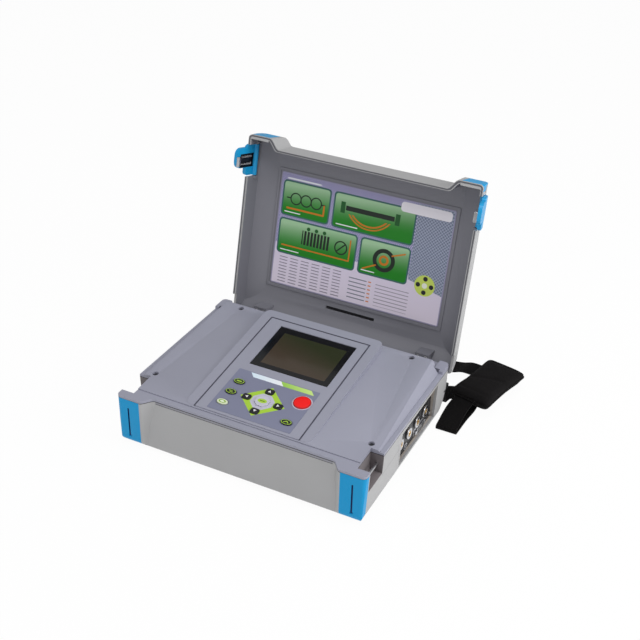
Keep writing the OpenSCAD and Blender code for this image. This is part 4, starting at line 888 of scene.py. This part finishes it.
# The padded sleeve is a foam pillow in coarse black cloth, sewn shut round its edge over a piping
# cord, with a stitched channel across near each end.
thread_pitch = 0.9
voxel, swell_steps, swell_most = 4.5, 20, 7
start_w, start_l, crown_power, waist_depth, pad_flat, pad_crown = 0.49, 0.492, 6, 0.1, 0.10, 0.24
channel_share, channel_half, channel_depth = 0.78, 0.028, 0.22
crease_half, crease_depth = 0.06, 0.12
piping_r = 1.1

pad_cloth = Finish("pad_cloth", Specular_IOR_Level=0.2)
x, y = pad_cloth.mapped()[:2]
warp = (x * (math.tau / thread_pitch)).sine() * 0.5 + 0.5
weft = (y * (math.tau / thread_pitch)).sine() * 0.5 + 0.5
crumple = pad_cloth.noise(pad_cloth.place(), 45.0, 4.0)
pad_cloth.colour(pad_cloth.mix((warp * weft + crumple * 0.5).clamp(),
                               [c * 0.6 for c in cloth_black], [c * 1.8 for c in cloth_black]))
pad_cloth.rough(0.9 - warp * weft * 0.1)
pad_cloth.bump(warp * weft * 0.15 + crumple, 0.0022, 0.6)


def to_pad(bm):
    """Takes a shape from the sleeve's own frame to its place on the bench."""
    place = Vector((*pad_mid, ground_z + webbing_t + 2 * webbing_gap)) * mm
    bm.transform(Matrix.Translation(place) @ Matrix.Rotation(pad_turn, 4, "Z")
                 @ Matrix.Rotation(pad_tilt, 4, "X"))


def as_evaluated(shape):
    """Makes a shape's live modifiers part of its mesh."""
    graph = bpy.context.evaluated_depsgraph_get()
    graph.update()
    mesh = bpy.data.meshes.new_from_object(shape.evaluated_get(graph))
    shape.modifiers.clear()
    shape.data = mesh


bm = bmesh.new()
bmesh.ops.create_cube(bm, size=1)
bmesh.ops.subdivide_edges(bm, edges=bm.edges, cuts=15, use_grid_fill=True)
pad_w, pad_l, pad_h = (s * mm for s in pad_size)
for vert in bm.verts:
    x, y, z = vert.co * 2
    crown = (1 - abs(y) ** crown_power) ** 0.5 * (1 - abs(x) ** crown_power) ** 0.5
    waist = 1 - waist_depth * (1 - y * y)
    vert.co = (x * pad_w * start_w * waist, y * pad_l * start_l,
               pad_h / 2 + z * pad_h * (pad_flat + pad_crown * crown))
mesh = bpy.data.meshes.new("pad")
bm.to_mesh(mesh)
bm.free()
pad = bpy.data.objects.new("pad", mesh)
bpy.context.scene.collection.objects.link(pad)
remesh = pad.modifiers.new("even", "REMESH")
remesh.mode = "VOXEL"
remesh.voxel_size = voxel * mm
as_evaluated(pad)
before = [vert.co.copy() for vert in pad.data.vertices]
cloth = pad.modifiers.new("cloth", "CLOTH")
cloth.settings.quality = 6
cloth.settings.use_pressure = True
cloth.settings.uniform_pressure_force = 4
cloth.settings.effector_weights.gravity = 0
cloth.settings.shrink_min = -0.04
cloth.point_cache.frame_start = 1
cloth.point_cache.frame_end = swell_steps
for step in range(1, swell_steps + 1):
    bpy.context.scene.frame_set(step)
as_evaluated(pad)
bpy.context.scene.frame_set(1)
for vert, start in zip(pad.data.vertices, before):
    move = vert.co - start
    vert.co = start + move * min(1, swell_most * mm / max(move.length, 1e-9))
bm = bmesh.new()
bm.from_mesh(pad.data)
bmesh.ops.subdivide_edges(bm, edges=bm.edges, cuts=1, use_grid_fill=True, smooth=0.6)
for vert in bm.verts:
    across, along, height = vert.co.x / (pad_w / 2), vert.co.y / (pad_l / 2), vert.co.z - pad_h / 2
    sewn = sum(math.exp(-((along - at) / channel_half) ** 2)
               for at in (-channel_share, channel_share))
    crease = math.exp(-((along - 0.25 * across + 0.1) / crease_half) ** 2) * crease_depth
    edge_share = min(abs(across), 1) ** 8
    height *= (1 - channel_depth * sewn * (1 - edge_share)) * (1 - crease)
    vert.co = (max(min(vert.co.x, pad_w / 2), -pad_w / 2),
               max(min(vert.co.y, pad_l / 2), -pad_l / 2),
               max(min(height + pad_h / 2, pad_h), 0))
bmesh.ops.smooth_vert(bm, verts=bm.verts, factor=0.4, use_axis_x=True, use_axis_y=True,
                      use_axis_z=True)
seam = bm.copy()
bmesh.ops.bisect_plane(seam, geom=seam.verts[:] + seam.edges[:] + seam.faces[:],
                       plane_co=(0, 0, pad_h / 2), plane_no=(0, 0, 1), clear_inner=True,
                       clear_outer=True)
to_pad(seam)
rim = [vert.co.copy() for vert in seam.verts]
rim_middle = sum(rim, Vector()) / len(rim)
rim.sort(key=lambda p: math.atan2(p.y - rim_middle.y, p.x - rim_middle.x))
seam.free()
to_pad(bm)
for face in bm.faces:
    face.smooth = True
bm.to_mesh(pad.data)
bm.free()
pad.data.materials.clear()
pad.data.materials.append(pad_cloth.material)
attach(pad, "case")
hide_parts("strap_pad")

piping_line = bpy.data.curves.new("pad_piping", "CURVE")
piping_line.dimensions = "3D"
piping_line.bevel_depth = piping_r * mm
piping_line.bevel_resolution = 3
spline = piping_line.splines.new("POLY")
spline.points.add(len(rim) - 1)
for spot, point in zip(rim, spline.points):
    point.co = (*spot, 1)
spline.use_cyclic_u = True
piping_line.materials.append(pad_cloth.material)
link("pad_piping", piping_line, "case")

# Inside the case: boards in green glass fibre with their screws, the display module, the
# current source with its fins, and the battery pack under a steel clamp.
track_pitch, track_w, bus_pitch, bus_w, bus_run, bus_long = 5.0, 0.7, 9.0, 0.8, 23.0, 15
circuit = Finish("circuit_board", Coat_Weight=0.3)
x, y = circuit.mapped()[:2]
tracks = ((((x + y) % track_pitch) < track_w)
          + ((x % bus_pitch) < bus_w) * ((y % bus_run) < bus_long)).clamp()
speckle = circuit.noise(circuit.place(), 500.0)
lacquer = circuit.mix(speckle, (0.01, 0.10, 0.03), (0.015, 0.14, 0.045))
circuit.colour(circuit.mix(tracks, lacquer, (0.03, 0.24, 0.08)))
circuit.rough(speckle * 0.2 + 0.35)
wear(circuit, "main_board", "display_board", "keypad_board")
wear(steel, "display_screws", "keypad_screws", "board_screws", "battery_clamp")
wear(metal("heat_sink", (0.20, 0.20, 0.21), 0.45), "current_module")
wear(moulded("lcd_case", painted(70, 72, 60), 0.5), "display_module")
wear(moulded("cell_wrap", painted(36, 66, 140), 0.35), "battery_pack")
wear(moulded("mat_rubber", painted(120, 122, 128), 0.6), "keypad_mat")
